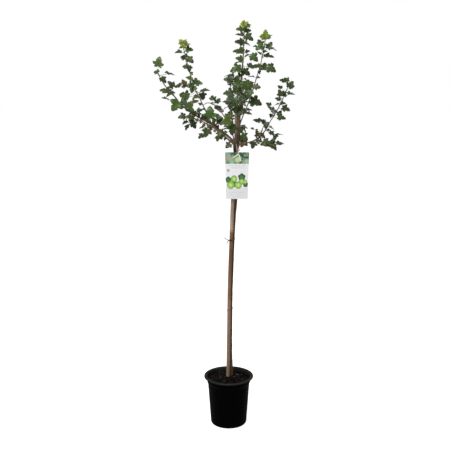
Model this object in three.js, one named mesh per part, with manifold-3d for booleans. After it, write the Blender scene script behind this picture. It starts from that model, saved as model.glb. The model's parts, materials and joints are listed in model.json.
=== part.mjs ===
// A young gooseberry grown as a standard: a grafted bush on a tall bare stem, in a round nursery pot,
// with a bamboo cane, a wire tie and a hanging card label. No fruit is on it yet.
// Millimetres, +Z up. The origin is the middle of the pot's flat base, and -Y is the front.
import * as THREE from "three";
import { mergeVertices } from "three/addons/utils/BufferGeometryUtils.js";
import Module from "manifold-3d";

const wasm = await Module();
wasm.setup();

// ---------------------------------------------------------------- driving dimensions

const GAP = 0.3; // clearance between two touching pieces

const POT = {
  height: 192,
  baseRadius: 69.5, // where the tapered wall meets the rounded bottom edge
  baseEdge: 8, // radius of that rounded edge
  shoulderRadius: 80.5, // top of the tapered wall
  shoulderHeight: 163,
  collarRadius: 84.5, // the wider band under the rim
  collarHeight: 169,
  rimRadius: 95,
  rimDepth: 5,
  wall: 1.8,
  segments: 24,
  drains: 6,
  drainRadius: 5,
  drainCircle: 50,
};

const SOIL = { level: 177, mound: 6, lump: 1.6 };

const TRUNK = {
  // The rootstock stands behind the cane, crosses to its front behind the label and ends in the graft head.
  path: [
    [6, 26, 100],
    [7, 26, 193],
    [6.8, 24.5, 340],
    [7.6, 22.5, 440],
    [9.3, 21, 547],
    [17, 16.5, 760],
    [25, 12.8, 874],
    [31.5, 6, 930],
    [34, -1, 968],
    [31, -9, 1014],
    [25, -13, 1058],
    [22, -12, 1094],
  ],
  // height, radius
  girth: [
    [100, 9.5],
    [193, 9.5],
    [235, 8.4],
    [255, 7.5],
    [290, 6.8],
    [850, 6.2],
    [1000, 6.2],
    [1040, 6.9],
    [1062, 8.6],
    [1080, 7.8],
    [1094, 5.8],
  ],
  budHeights: [398, 455, 532, 812],
  sides: 8,
  stations: 22,
};

const CANE = {
  path: [
    [-4, 12, 30],
    [-2.6, 12, 193],
    [-0.3, 10.5, 340],
    [2.6, 8, 550],
    [10.2, 3, 762],
    [14.2, 3, 875],
    [21.5, 5, 1009],
    [26, 7.5, 1080],
    [27, 8, 1216],
  ],
  footRadius: 6.8,
  topRadius: 6.5,
  nodeHeights: [140, 450, 760, 1070],
  nodeSwell: 0.9,
  pithRadius: 2,
  pithDepth: 25,
  sides: 10,
  stations: 8,
};

const LABEL = {
  topWidth: 87,
  bottomWidth: 80,
  height: 172.5,
  thickness: 0.8,
  cornerRadius: 4,
  centre: [29.5, -24.5, 1058], // middle of the top edge, front face
  lean: 2.3, // degrees: the foot hangs nearer to the stem than the top
  holeOffset: 4.5, // the hole lies to the right of the middle
  holeDrop: 6,
  holeRadius: 3,
};

const WIRE = { height: 727, radius: 1, clearance: 0.6 };

const SPIRAL = 137.5; // degrees from one bud or leaf to the next round a shoot
const BLADE_THICKNESS = 0.7;
const PETIOLE_RADIUS = 0.7;
const REACH_BACK = 0.95; // from a blade's middle to the place that its stalk looks for, by its length
const BLADE_MIDDLE = 0.45; // from a blade's foot to its middle, by its length
const STALK_CLEARANCE = 2; // the part of a petiole that does not grow with the blade
const STEM_SAMPLES = 200; // places along a stem where a petiole can start
const STEM_SIDES = 5;
const STATION_SPACING = 27; // between the rings of a leafy stem
const SPINE_SPACING = 52;
const SPINE_LENGTH = 9;
const SPINE_RADIUS = 0.75;

// Half of a leaf's outline for a blade of length 1: across from the midrib, along it from the petiole.
// A basal lobe, the tip of the side lobe, and the notch below the middle lobe.
const HALF_LEAF = [
  [0.4, -0.03],
  [0.55, 0.48],
  [0.26, 0.62],
];

// Every leafy stem: the stem it grows from, its path, the radius at its foot and tip, how far along it
// leaves its parent's wood, and its leaves as [x, z, aim, blade length, tilt, face].
// x and z are the middle of the blade and aim is where its tip points, all as seen from the front:
// 0 is right and 90 is up. Tilt is how far the tip leans to the front, and face how far the upper side is
// turned from the sky to the front; where face is negative, the underside shows.
const STEMS = {
  left_outer: {
    parent: "trunk",
    radii: [4.7, 1.3],
    joint: 0.05,
    seed: 1,
    path: [
      [22, -12, 1090],
      [0, -15, 1113],
      [-32, -24, 1137],
      [-72, -38, 1166],
      [-109, -52, 1186],
      [-142, -66, 1208],
      [-170, -80, 1231],
      [-191, -92, 1259],
      [-219, -101, 1291],
      [-238, -107, 1322],
      [-248, -110, 1346],
    ],
    leaves: [
      [-241, 1374, 80, 32, 25, 75],
      [-253, 1343, 165, 20, -20, 50],
      [-227, 1316, 322, 24, 20, 30],
      [-204, 1338, 5, 34, -40, 25],
      [-200, 1300, 125, 26, 20, 50],
      [-226, 1279, 163, 38, -15, 22],
      [-207, 1267, 200, 24, 30, 40],
      [-221, 1253, 155, 28, 30, 30],
      [-198, 1275, 90, 16, -50, 30],
      [-186, 1228, 235, 38, 25, 75],
      [-195, 1243, 150, 22, -10, 50],
      [-162, 1236, 150, 24, -20, 40],
      [-136, 1229, 60, 34, 35, 65],
      [-118, 1242, 30, 24, -25, 40],
      [-105, 1210, 20, 20, -20, -60],
      [-102, 1197, 170, 20, 45, 35],
      [-68, 1199, 92, 44, 20, 85],
      [-93, 1187, 100, 18, 20, 50],
      [-52, 1169, 60, 22, 25, 50],
      [-31, 1171, 70, 28, -15, 60],
      [-38, 1187, 100, 18, -20, -50],
      [-142, 1210, 160, 22, 30, 50],
      [-126, 1200, 300, 22, 25, 55],
    ],
  },
  left_low: {
    parent: "trunk",
    radii: [3.5, 1.4],
    joint: 0.1,
    seed: 2,
    path: [
      [22, -14, 1082],
      [-4, -25, 1106],
      [-34, -38, 1133],
      [-68, -52, 1156],
      [-96, -64, 1171],
      [-120, -80, 1181],
      [-144, -96, 1189],
    ],
    leaves: [
      [-164, 1190, 190, 26, 20, 35],
      [-140, 1188, 170, 24, 25, 50],
      [-150, 1178, 250, 20, -40, 40],
      [-150, 1171, 180, 26, 45, 15],
      [-132, 1173, 250, 20, 25, 45],
      [-142, 1159, 182, 30, -20, 12],
      [-149, 1151, 235, 20, 20, 30],
      [-124, 1159, 300, 24, -10, 50],
      [-100, 1148, 185, 18, -20, 25],
      [-80, 1133, 250, 30, 20, 65],
      [-100, 1118, 215, 22, 20, 20],
      [-41, 1109, 262, 18, 20, 60],
      [-29, 1114, 290, 18, -10, 60],
      [-35, 1125, 262, 20, 30, 45],
      [-3, 1083, 215, 24, 20, 35],
    ],
  },
  left_upright: {
    parent: "left_outer",
    radii: [2.4, 1.1],
    joint: 0.03,
    seed: 3,
    rosette: [4, 20],
    path: [
      [-65, -36, 1161],
      [-83, -16, 1203],
      [-103, 4, 1245],
      [-122, 20, 1281],
      [-138, 34, 1327],
      [-151, 46, 1370],
      [-162, 58, 1414],
      [-170, 66, 1441],
    ],
    leaves: [
      [-150, 1442, 25, 20, 20, 40],
      [-147, 1426, 5, 26, 15, 45],
      [-184, 1418, 178, 26, 20, 35],
      [-166, 1400, 160, 28, -20, 40],
      [-142, 1388, 325, 28, 25, 50],
      [-160, 1366, 170, 22, -20, 45],
      [-145, 1358, 280, 22, 20, 60],
      [-144, 1322, 155, 26, 20, 45],
      [-114, 1309, 5, 34, -15, 60],
      [-141, 1296, 185, 26, 20, 50],
      [-132, 1284, 250, 28, 25, 70],
      [-165, 1296, 190, 24, -20, 40],
      [-165, 1309, 110, 20, -10, 60],
      [-189, 1296, 170, 27, -30, 35],
      [-165, 1261, 160, 36, -25, 50],
      [-155, 1253, 215, 24, -10, 40],
      [-88, 1278, 15, 36, 20, 22],
      [-97, 1258, 290, 28, -20, 60],
      [-121, 1254, 200, 22, 20, 40],
    ],
  },
  left_inner: {
    parent: "trunk",
    radii: [2.6, 1.1],
    joint: 0.1,
    seed: 4,
    path: [
      [22, -10, 1088],
      [8, 14, 1140],
      [-8, 34, 1170],
      [-30, 56, 1202],
      [-54, 76, 1225],
      [-78, 90, 1233],
      [-97, 100, 1225],
    ],
    leaves: [
      [-62, 1252, 95, 20, -20, 60],
      [-41, 1241, 60, 24, -25, 50],
      [-62, 1233, 175, 18, 20, 25],
      [-44, 1215, 310, 18, 20, 50],
      [-30, 1208, 340, 26, -20, 45],
      [-13, 1215, 40, 18, 10, 12],
      [4, 1191, 80, 30, -15, 60],
    ],
  },
  leader: {
    parent: "trunk",
    radii: [6.8, 1.2],
    joint: 0.125,
    seed: 5,
    rosette: [5, 20],
    path: [
      [25, -12, 1062],
      [33, -6, 1082],
      [35.5, -4, 1108],
      [36.5, -3.5, 1151],
      [38.5, -1, 1194],
      [40, 5, 1234],
      [42, 10, 1273],
      [45, 14, 1320],
      [49, 18, 1366],
      [52, 22, 1412],
      [54, 26, 1465],
      [55, 28, 1503],
    ],
    leaves: [
      [40, 1495, 178, 26, 15, 35],
      [66, 1493, 8, 28, -20, 40],
      [38, 1477, 155, 26, -15, 30],
      [45, 1481, 110, 16, 20, 40],
      [71, 1465, 335, 32, 20, 30],
      [39, 1449, 165, 32, 15, 55],
      [66, 1446, 350, 24, -15, 50],
      [34, 1420, 165, 38, -15, 45],
      [67, 1417, 20, 18, 15, 30],
      [69, 1405, 35, 26, 10, 12],
      [90, 1395, 320, 30, 15, 60],
      [38, 1390, 160, 28, 20, 60],
      [26, 1377, 195, 24, -15, 15],
      [27, 1356, 190, 38, 20, 40],
      [62, 1343, 330, 32, 15, 55],
      [84, 1363, 355, 34, -15, 20],
      [38, 1335, 120, 16, 10, 40],
      [28, 1303, 185, 30, 15, 65],
      [22, 1290, 235, 26, -15, 60],
      [32, 1287, 280, 26, 20, 70],
      [66, 1295, 300, 40, 20, 65],
      [58, 1268, 300, 16, 10, 20],
      [45, 1275, 280, 16, 20, 50],
      [0, 1270, 170, 38, 20, 45],
      [18, 1277, 200, 16, -15, 20],
      [5, 1255, 200, 26, -15, 60],
      [55, 1250, 20, 28, 15, 55],
      [56, 1237, 30, 32, -15, 15],
      [27, 1217, 250, 32, 35, 70],
      [38, 1192, 250, 16, 15, 40],
      [55, 1151, 350, 24, 15, 15],
      [58, 1137, 310, 24, -15, 30],
      [45, 1140, 270, 22, 15, 60],
      [55, 1112, 320, 30, 15, 45],
      [48, 1103, 280, 28, 30, 70],
      [50, 1093, 250, 28, 40, 80],
      [62, 1100, 330, 16, -15, 40],
      [58, 1088, 340, 20, 30, 60],
    ],
  },
  centre_right: {
    parent: "leader",
    radii: [2.5, 1.2],
    joint: 0.08,
    seed: 6,
    path: [
      [36.5, -3, 1146],
      [46, -11, 1177],
      [60, -20, 1211],
      [74, -34, 1248],
      [86, -46, 1286],
      [97, -56, 1324],
      [108, -64, 1360],
      [116, -70, 1398],
      [122, -73, 1430],
      [126, -75, 1455],
    ],
    leaves: [
      [124, 1469, 85, 28, 15, 85],
      [117, 1462, 160, 20, -10, 50],
      [135, 1461, 20, 20, -15, 50],
      [143, 1466, 45, 16, -20, 10],
      [107, 1445, 110, 24, -15, 40],
      [106, 1427, 200, 28, 20, 70],
      [140, 1432, 60, 24, 15, 60],
      [158, 1421, 340, 20, -15, 10],
      [124, 1413, 20, 16, 20, 30],
      [106, 1408, 130, 16, -20, 20],
      [137, 1397, 5, 36, 15, 28],
      [98, 1365, 160, 22, -20, 40],
      [114, 1354, 340, 16, 20, 40],
      [124, 1364, 70, 26, -15, 45],
      [146, 1355, 335, 32, 20, 55],
      [78, 1328, 170, 20, -20, 25],
      [100, 1291, 355, 22, 15, 45],
      [75, 1298, 110, 22, -15, 30],
      [72, 1269, 260, 26, 20, 70],
      [93, 1240, 345, 40, 20, 70],
      [73, 1211, 10, 18, -10, 25],
      [72, 1199, 0, 20, 15, 30],
    ],
  },
  front: {
    parent: "trunk",
    radii: [2.6, 1.1],
    joint: 0.12,
    seed: 7,
    path: [
      [26, -12, 1084],
      [18, -34, 1146],
      [7, -60, 1197],
      [1, -84, 1246],
      [5, -102, 1295],
      [11, -114, 1335],
    ],
    leaves: [
      [-5, 1317, 170, 24, 15, 60],
      [-5, 1330, 178, 24, -15, 12],
      [7, 1317, 265, 24, 20, 50],
      [28, 1319, 75, 28, -15, 65],
      [-10, 1241, 160, 26, -15, 15],
      [4, 1232, 265, 28, 20, 50],
      [21, 1240, 280, 34, 15, 75],
      [45, 1209, 350, 36, 15, 60],
      [20, 1211, 290, 22, 20, 40],
      [-9, 1172, 200, 35, 20, 80],
      [11, 1144, 270, 34, 20, 80],
      [5, 1157, 230, 18, -10, 70],
      [-10, 1143, 190, 24, -15, 12],
    ],
  },
  back: {
    parent: "leader",
    radii: [2.4, 1.1],
    joint: 0.08,
    seed: 8,
    path: [
      [38, -2, 1173],
      [44, 40, 1205],
      [48, 70, 1240],
      [50, 98, 1275],
      [50, 120, 1300],
    ],
    leaves: [
      [60, 1308, 40, 26, -30, 40],
      [40, 1302, 120, 26, -30, 50],
      [64, 1284, 350, 28, -20, 40],
      [34, 1270, 170, 28, -10, 50],
      [62, 1260, 20, 28, -35, 50],
      [32, 1240, 200, 28, -20, 40],
      [58, 1230, 340, 26, -30, 40],
      [34, 1210, 170, 26, -30, 40],
    ],
  },
  right_outer: {
    parent: "trunk",
    radii: [3.1, 1.2],
    joint: 0.15,
    seed: 9,
    path: [
      [25, -12, 1066],
      [36, -6, 1082],
      [51, 0, 1087],
      [74, 8, 1092],
      [96, 17, 1099],
      [116, 26, 1115],
      [133, 34, 1132],
      [149, 44, 1160],
      [167, 53, 1188],
      [182, 62, 1212],
      [195, 70, 1237],
      [208, 77, 1264],
      [219, 84, 1291],
    ],
    leaves: [
      [203, 1316, 160, 26, -15, 55],
      [217, 1318, 70, 16, 15, 50],
      [228, 1300, 60, 28, 20, 60],
      [190, 1291, 135, 18, -20, 25],
      [235, 1267, 10, 30, -15, 10],
      [189, 1270, 110, 24, 15, 55],
      [202, 1264, 190, 24, 20, 45],
      [183, 1248, 150, 20, -10, 25],
      [199, 1232, 10, 20, 20, 40],
      [178, 1229, 185, 18, -15, 20],
      [210, 1213, 350, 30, 15, 45],
      [146, 1229, 135, 20, -15, 30],
      [157, 1210, 128, 32, 15, 35],
      [188, 1197, 60, 20, -10, 30],
      [193, 1181, 0, 27, 20, 40],
      [160, 1142, 345, 20, -15, 12],
      [159, 1122, 330, 24, 15, 30],
      [172, 1108, 280, 22, -10, 30],
      [187, 1119, 8, 24, -15, 25],
      [103, 1123, 100, 24, 20, 45],
      [126, 1113, 330, 20, -10, 40],
      [89, 1083, 258, 24, 20, 45],
      [109, 1092, 330, 20, -25, 50],
    ],
  },
  right_inner: {
    parent: "right_outer",
    radii: [1.9, 1.1],
    joint: 0.14,
    seed: 10,
    path: [
      [116, 26, 1115],
      [123, 19, 1139],
      [129, 12, 1157],
      [133, 6, 1173],
    ],
    leaves: [
      [103, 1171, 150, 26, -15, 40],
      [122, 1168, 130, 24, 15, 40],
      [134, 1157, 250, 22, 20, 50],
    ],
  },
  right_low: {
    parent: "right_outer",
    radii: [1.9, 1.1],
    joint: 0.1,
    seed: 11,
    path: [
      [96, 17, 1099],
      [114, 2, 1094],
      [135, -16, 1092],
      [155, -36, 1085],
      [169, -50, 1079],
    ],
    leaves: [
      [137, 1094, 345, 28, 20, 45],
      [158, 1086, 325, 30, 15, 40],
      [163, 1078, 320, 22, 20, 45],
      [184, 1091, 8, 26, -15, 26],
      [127, 1088, 340, 24, 45, 30],
    ],
  },
};

const MATERIALS = {
  pot: { color: 0x101012, roughness: 0.5, metalness: 0 },
  soil: { color: 0x2b1f19, roughness: 1, metalness: 0 },
  bark: { color: 0x4a3629, roughness: 0.85, metalness: 0 },
  bamboo: { color: 0x9a7a5e, roughness: 0.6, metalness: 0 },
  wire: { color: 0x3a4038, roughness: 0.45, metalness: 0.2 },
  label: { color: 0xeceaf0, roughness: 0.35, metalness: 0 },
  strap: { color: 0xd9dca8, roughness: 0.5, metalness: 0 },
  foliage: { color: 0x3f6b2a, roughness: 0.6, metalness: 0 },
};

// ---------------------------------------------------------------- helpers

const radians = THREE.MathUtils.degToRad;
const vector = (xyz) => new THREE.Vector3(...xyz);
const Y = new THREE.Vector3(0, 1, 0);
const Z = new THREE.Vector3(0, 0, 1);

// A number from 0 to 1 that is always the same for the same seed and count.
function draw(seed, count) {
  const wave = Math.sin(count * 12.9898 + seed * 78.233) * 43758.5453;
  return wave - Math.floor(wave);
}

// Straight lines between pairs of [place, value].
function between(pairs, place) {
  let upper = pairs.findIndex(([at]) => at >= place);
  if (upper < 0) upper = pairs.length - 1;
  if (upper === 0) return pairs[0][1];
  const [from, start] = pairs[upper - 1];
  const [to, end] = pairs[upper];
  return THREE.MathUtils.lerp(start, end, THREE.MathUtils.clamp((place - from) / (to - from), 0, 1));
}

function bufferGeometry(positions, faces) {
  const geometry = new THREE.BufferGeometry();
  geometry.setAttribute("position", new THREE.Float32BufferAttribute(positions, 3));
  geometry.setIndex(faces);
  return geometry;
}

// A closed three.js geometry as a manifold-3d solid.
function solid(geometry) {
  const bare = geometry.clone();
  bare.deleteAttribute("normal");
  bare.deleteAttribute("uv");
  const merged = mergeVertices(bare, 1e-4);
  const mesh = new wasm.Mesh({
    numProp: 3,
    vertProperties: new Float32Array(merged.attributes.position.array),
    triVerts: new Uint32Array(merged.index.array),
  });
  return new wasm.Manifold(mesh);
}

const join = (solids) => solids.reduce((whole, next) => whole.add(next));

function piece(name, body, material) {
  let geometry = body;
  if (!body.isBufferGeometry) {
    const mesh = body.getMesh();
    geometry = bufferGeometry(mesh.vertProperties, Array.from(mesh.triVerts)).toNonIndexed();
  }
  geometry.computeVertexNormals();
  const made = new THREE.Mesh(geometry, new THREE.MeshStandardMaterial(MATERIALS[material]));
  made.name = name;
  return made;
}

// A solid tube: a ring of corners round every station of a path, turned by a fixed reference direction.
// Its ends are flat, unless the path closes on itself.
function tube(stations, sides, reference, closed = false) {
  const positions = [];
  const faces = [];
  for (const { point, tangent, radius } of stations) {
    const across = new THREE.Vector3().crossVectors(reference, tangent).normalize();
    const over = new THREE.Vector3().crossVectors(tangent, across);
    for (let k = 0; k < sides; k++) {
      const turn = (2 * Math.PI * k) / sides;
      const corner = point.clone();
      corner.addScaledVector(across, radius * Math.cos(turn));
      corner.addScaledVector(over, radius * Math.sin(turn));
      positions.push(...corner);
    }
  }
  const rings = closed ? stations.length : stations.length - 1;
  for (let i = 0; i < rings; i++) {
    const here = i * sides;
    const next = ((i + 1) % stations.length) * sides;
    for (let k = 0; k < sides; k++) {
      const l = (k + 1) % sides;
      faces.push(here + k, here + l, next + l, here + k, next + l, next + k);
    }
  }
  if (!closed) {
    const last = (stations.length - 1) * sides;
    for (let k = 1; k < sides - 1; k++) {
      faces.push(0, k + 1, k);
      faces.push(last, last + k, last + k + 1);
    }
  }
  return bufferGeometry(positions, faces);
}

const smooth = (path, closed = false) =>
  new THREE.CatmullRomCurve3(path.map(vector), closed, "catmullrom", 0.5);

// Where an upward curve reaches a height.
function placeAt(curve, height) {
  let t = 0;
  while (t < 1 && curve.getPoint(t).z < height) t += 0.0005;
  return Math.min(t, 1);
}

function station(curve, t, radius) {
  return { point: curve.getPoint(t), tangent: curve.getTangent(t), radius };
}

// Even parameters from one to another, about one for every STATION_SPACING of length.
function parameters(from, to, length) {
  const count = Math.max(2, Math.ceil(((to - from) * length) / STATION_SPACING));
  return Array.from({ length: count + 1 }, (_, i) => from + ((to - from) * i) / count);
}

// ---------------------------------------------------------------- pot and soil

// The wall's inner line, from the floor to the rim, moved inwards by an offset.
function innerProfile(offset) {
  const wall = POT.wall + offset;
  return [
    [POT.baseRadius - POT.baseEdge, wall],
    [POT.baseRadius - wall, POT.baseEdge],
    [POT.shoulderRadius - wall, POT.shoulderHeight + wall / 3],
    [POT.collarRadius - wall, POT.collarHeight + wall / 3],
  ];
}

function pot() {
  const rimTop = POT.height;
  const rimFoot = POT.height - POT.rimDepth;
  const edge = POT.baseEdge;
  const arc = edge * (1 - Math.SQRT1_2);
  const outline = [
    [0, 0],
    [POT.baseRadius - edge, 0],
    [POT.baseRadius - arc, arc],
    [POT.baseRadius, edge],
    [POT.shoulderRadius, POT.shoulderHeight],
    [POT.collarRadius - 0.8, POT.collarHeight],
    [POT.collarRadius + 0.5, rimFoot],
    [POT.rimRadius, rimFoot],
    [POT.rimRadius, rimTop - 1.5],
    [POT.rimRadius - 1.5, rimTop],
    [POT.collarRadius - POT.wall + 1.4, rimTop],
    ...innerProfile(0).reverse(),
    [0, POT.wall],
  ];
  const shell = new THREE.LatheGeometry(outline.map(([r, z]) => new THREE.Vector2(r, z)), POT.segments);
  shell.rotateX(Math.PI / 2);
  let body = solid(shell);
  for (let i = 0; i < POT.drains; i++) {
    const turn = (2 * Math.PI * (i + 0.5)) / POT.drains;
    const drain = new THREE.CylinderGeometry(POT.drainRadius, POT.drainRadius, 10, 6);
    drain.rotateX(Math.PI / 2);
    drain.translate(POT.drainCircle * Math.cos(turn), POT.drainCircle * Math.sin(turn), 0);
    body = body.subtract(solid(drain));
  }
  return piece("pot", body, "pot");
}

// Crumbs of bark compost: three crossing waves, and a low mound towards the stem.
function soilHeight(x, y) {
  const fall = 1 - Math.hypot(x, y) / POT.collarRadius;
  const waves =
    Math.sin(x * 0.31 + y * 0.12) * Math.cos(y * 0.27 - x * 0.09) +
    0.7 * Math.sin(x * 0.57 - y * 0.43 + 1.3) +
    0.5 * Math.cos(x * 0.19 + y * 0.71);
  return SOIL.mound * fall + SOIL.lump * waves * Math.min(1, fall * 4);
}

function soil() {
  const rings = [0.9, 0.72, 0.54, 0.36, 0.18];
  const outer = POT.collarRadius - POT.wall - 2 * GAP;
  const profile = [
    [0, POT.wall + GAP],
    ...innerProfile(GAP),
    [outer, SOIL.level],
    ...rings.map((share) => [outer * share, SOIL.level]),
    [0, SOIL.level],
  ];
  const body = new THREE.LatheGeometry(profile.map(([r, z]) => new THREE.Vector2(r, z)), POT.segments);
  body.rotateX(Math.PI / 2);
  const places = body.attributes.position;
  for (let i = 0; i < places.count; i++) {
    if (places.getZ(i) < SOIL.level - 0.01) continue;
    places.setZ(i, SOIL.level + soilHeight(places.getX(i), places.getY(i)));
  }
  const whole = solid(body);
  return piece("soil", whole.subtract(solid(trunkTube(GAP))).subtract(solid(caneTube(GAP))), "soil");
}

// ---------------------------------------------------------------- trunk and cane

function trunkTube(grow) {
  const curve = smooth(TRUNK.path);
  const stations = Array.from({ length: TRUNK.stations + 1 }, (_, i) => {
    const made = station(curve, i / TRUNK.stations, 0);
    made.radius = between(TRUNK.girth, made.point.z) + grow;
    return made;
  });
  return tube(stations, TRUNK.sides, Y);
}

// A resting bud: a small egg half sunk in the bark.
function bud(curve, height, index) {
  const turn = radians(200 + SPIRAL * index);
  const radius = between(TRUNK.girth, height);
  const egg = new THREE.SphereGeometry(2.2, 5, 4);
  egg.scale(0.9, 0.9, 1.7);
  const place = curve.getPoint(placeAt(curve, height));
  egg.translate(place.x + radius * Math.cos(turn), place.y + radius * Math.sin(turn), place.z);
  return solid(egg);
}

function trunk() {
  const curve = smooth(TRUNK.path);
  const parts = [solid(trunkTube(0))];
  TRUNK.budHeights.forEach((height, index) => parts.push(bud(curve, height, index)));
  return piece("trunk", join([...parts, ...stubs("trunk")]), "bark");
}

const caneFoot = CANE.path[0][2];
const caneTop = CANE.path.at(-1)[2];

const caneRadius = (height) =>
  THREE.MathUtils.mapLinear(height, caneFoot, caneTop, CANE.footRadius, CANE.topRadius);

function caneTube(grow) {
  const curve = smooth(CANE.path);
  // Stations at even heights, and a short swelling at every node.
  const even = Array.from({ length: CANE.stations + 1 }, (_, i) =>
    THREE.MathUtils.lerp(caneFoot, caneTop, i / CANE.stations),
  );
  const rings = CANE.nodeHeights.flatMap((z) => [z - 6, z - 1, z + 1, z + 5]);
  const heights = [...even.filter((z) => rings.every((r) => Math.abs(r - z) > 5)), ...rings];
  heights.sort((a, b) => a - b);
  const stations = heights.map((height) => {
    const swell = CANE.nodeHeights.some((z) => Math.abs(z - height) <= 1) ? CANE.nodeSwell : 0;
    return station(curve, placeAt(curve, height), caneRadius(height) + swell + grow);
  });
  return tube(stations, CANE.sides, Y);
}

function cane() {
  const pith = new THREE.CylinderGeometry(CANE.pithRadius, CANE.pithRadius, 2 * CANE.pithDepth, 8);
  pith.rotateX(Math.PI / 2);
  pith.translate(...CANE.path.at(-1));
  return piece("cane", solid(caneTube(0)).subtract(solid(pith)), "bamboo");
}

// ---------------------------------------------------------------- leaves, spines and leafy stems

// Where a leaf of the tables stands. Its stalk starts at the place on the stem that lies nearest, as seen
// from the front, to a point behind the blade. The blade's foot stands in front of the stem or behind it by
// its lean and by a share of its own.
function standing(stem, curve, [x, z, aim, length, tilt, face], index) {
  const turn = radians(aim);
  const lean = radians(tilt);
  const level = Math.cos(lean);
  const out = new THREE.Vector3(Math.cos(turn) * level, -Math.sin(lean), Math.sin(turn) * level);
  const back = REACH_BACK * length + STALK_CLEARANCE;
  const distance = (point) => Math.hypot(point.x - x + back * out.x, point.z - z + back * out.z);
  const places = Array.from({ length: STEM_SAMPLES + 1 }, (_, i) =>
    curve.getPoint(THREE.MathUtils.lerp(stem.joint + 0.02, 1, i / STEM_SAMPLES)),
  );
  const foot = places.reduce((best, point) => (distance(point) < distance(best) ? point : best));
  const forwards = 2 * out.y + draw(stem.seed, 400 + index) - 0.5;
  const base = new THREE.Vector3(
    x - BLADE_MIDDLE * length * out.x,
    foot.y + (0.5 * length + STALK_CLEARANCE) * forwards,
    z - BLADE_MIDDLE * length * out.z,
  );
  return { foot, base, out, length, face };
}

// One leaf as one thin closed body: a three-sided petiole from the middle of the stem, which runs out
// into a lobed blade, folded up along its midrib and drooping to its tip.
function leaf({ foot, base, out, length, face }, seed, index) {
  const roll = radians(36 * (draw(seed, 3 * index) - 0.5));
  const facing = new THREE.Vector3(0, -Math.sin(radians(face)), Math.cos(radians(face)));
  const normal = facing.addScaledVector(out, -facing.dot(out)).normalize().applyAxisAngle(out, roll);
  const across = new THREE.Vector3().crossVectors(out, normal);
  const fold = 0.12 + 0.2 * draw(seed, 3 * index + 1);
  const droop = 0.08 + 0.22 * draw(seed, 3 * index + 2);

  const positions = [];
  const place = (origin, x, y, z) => {
    const corner = origin.clone().addScaledVector(across, x).addScaledVector(out, y);
    positions.push(...corner.addScaledVector(normal, z));
  };
  const neck = PETIOLE_RADIUS / length;
  const mirrored = HALF_LEAF.map(([x, y]) => [-x, y]).reverse();
  const outline = [[neck, 0], ...HALF_LEAF, [0, 1], ...mirrored, [-neck, 0]];
  for (const side of [1, -1]) {
    for (const [x, y] of outline) {
      const height = (fold * Math.abs(x) - droop * Math.max(y, 0) ** 2) * length;
      place(base, x * length, y * length, height + (side * BLADE_THICKNESS) / 2);
    }
  }
  const stalk = base.clone().sub(foot).normalize();
  const side = new THREE.Vector3().crossVectors(stalk, normal).normalize();
  const upper = new THREE.Vector3().crossVectors(side, stalk);
  for (const degrees of [210, 90, -30]) {
    const corner = foot.clone().addScaledVector(side, PETIOLE_RADIUS * Math.cos(radians(degrees)));
    positions.push(...corner.addScaledVector(upper, PETIOLE_RADIUS * Math.sin(radians(degrees))));
  }

  const count = outline.length;
  const tip = HALF_LEAF.length + 1;
  const last = count - 1;
  const triangles = [[0, tip, last]];
  for (let i = 1; i < tip; i++) {
    triangles.push([0, i, i + 1], [last, last - i - 1, last - i]);
  }
  const faces = [];
  for (const [a, b, c] of triangles) {
    faces.push(a, b, c, count + a, count + c, count + b);
  }
  for (let i = 0; i < last; i++) {
    faces.push(i, count + i, count + i + 1, i, count + i + 1, i + 1);
  }
  // The petiole's three corners at the stem, and the four at the blade's near edge.
  const [left, top, right] = [2 * count, 2 * count + 1, 2 * count + 2];
  const neckRing = [count + last, last, 0, count];
  faces.push(left, top, neckRing[1], left, neckRing[1], neckRing[0]);
  faces.push(top, neckRing[2], neckRing[1]);
  faces.push(top, right, neckRing[3], top, neckRing[3], neckRing[2]);
  faces.push(right, left, neckRing[0], right, neckRing[0], neckRing[3]);
  faces.push(left, right, top);
  return solid(bufferGeometry(positions, faces));
}

// Thorns stand in ones, twos and threes under the leaves: sharp three-sided cones with sunken roots.
function spines(curve, stem, length) {
  const made = [];
  const count = Math.floor(((0.97 - stem.joint) * length) / SPINE_SPACING);
  for (let i = 0; i < count; i++) {
    const along = stem.joint + 0.05 + ((0.92 - stem.joint) * (i + 0.5 * draw(stem.seed, 500 + i))) / count;
    const point = curve.getPoint(along);
    const tangent = curve.getTangent(along);
    const across = new THREE.Vector3().crossVectors(Y, tangent).normalize();
    const cluster = draw(stem.seed, 600 + i) < 0.35 ? 2 : 1;
    for (let k = 0; k < cluster; k++) {
      const turn = 2 * Math.PI * draw(stem.seed, 700 + i) + k * 1.9;
      const out = across.clone().applyAxisAngle(tangent, turn).addScaledVector(tangent, 0.25).normalize();
      const reach = SPINE_LENGTH * (0.75 + 0.5 * draw(stem.seed, 800 + 2 * i + k)) + stemRadius(stem, along);
      const cone = new THREE.ConeGeometry(SPINE_RADIUS, reach, 3);
      cone.translate(0, reach / 2, 0);
      cone.applyQuaternion(new THREE.Quaternion().setFromUnitVectors(Y, out));
      cone.translate(...point);
      made.push(solid(cone));
    }
  }
  return made;
}

const stemRadius = (stem, along) => THREE.MathUtils.lerp(stem.radii[0], stem.radii[1], along ** 0.8);

// The bare wood of a stem between two places along it.
function wood(stem, from, to, start = 0) {
  const curve = smooth(stem.path);
  const stations = parameters(from, to, curve.getLength()).map((t) =>
    station(curve, t, stemRadius(stem, t)),
  );
  stations[0].point.addScaledVector(stations[0].tangent, start);
  return solid(tube(stations, STEM_SIDES, Y));
}

// The feet of the stems that grow from a parent, which belong to the parent's wood.
function stubs(parent) {
  return Object.values(STEMS)
    .filter((stem) => stem.parent === parent)
    .map((stem) => wood(stem, 0, stem.joint));
}

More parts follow.
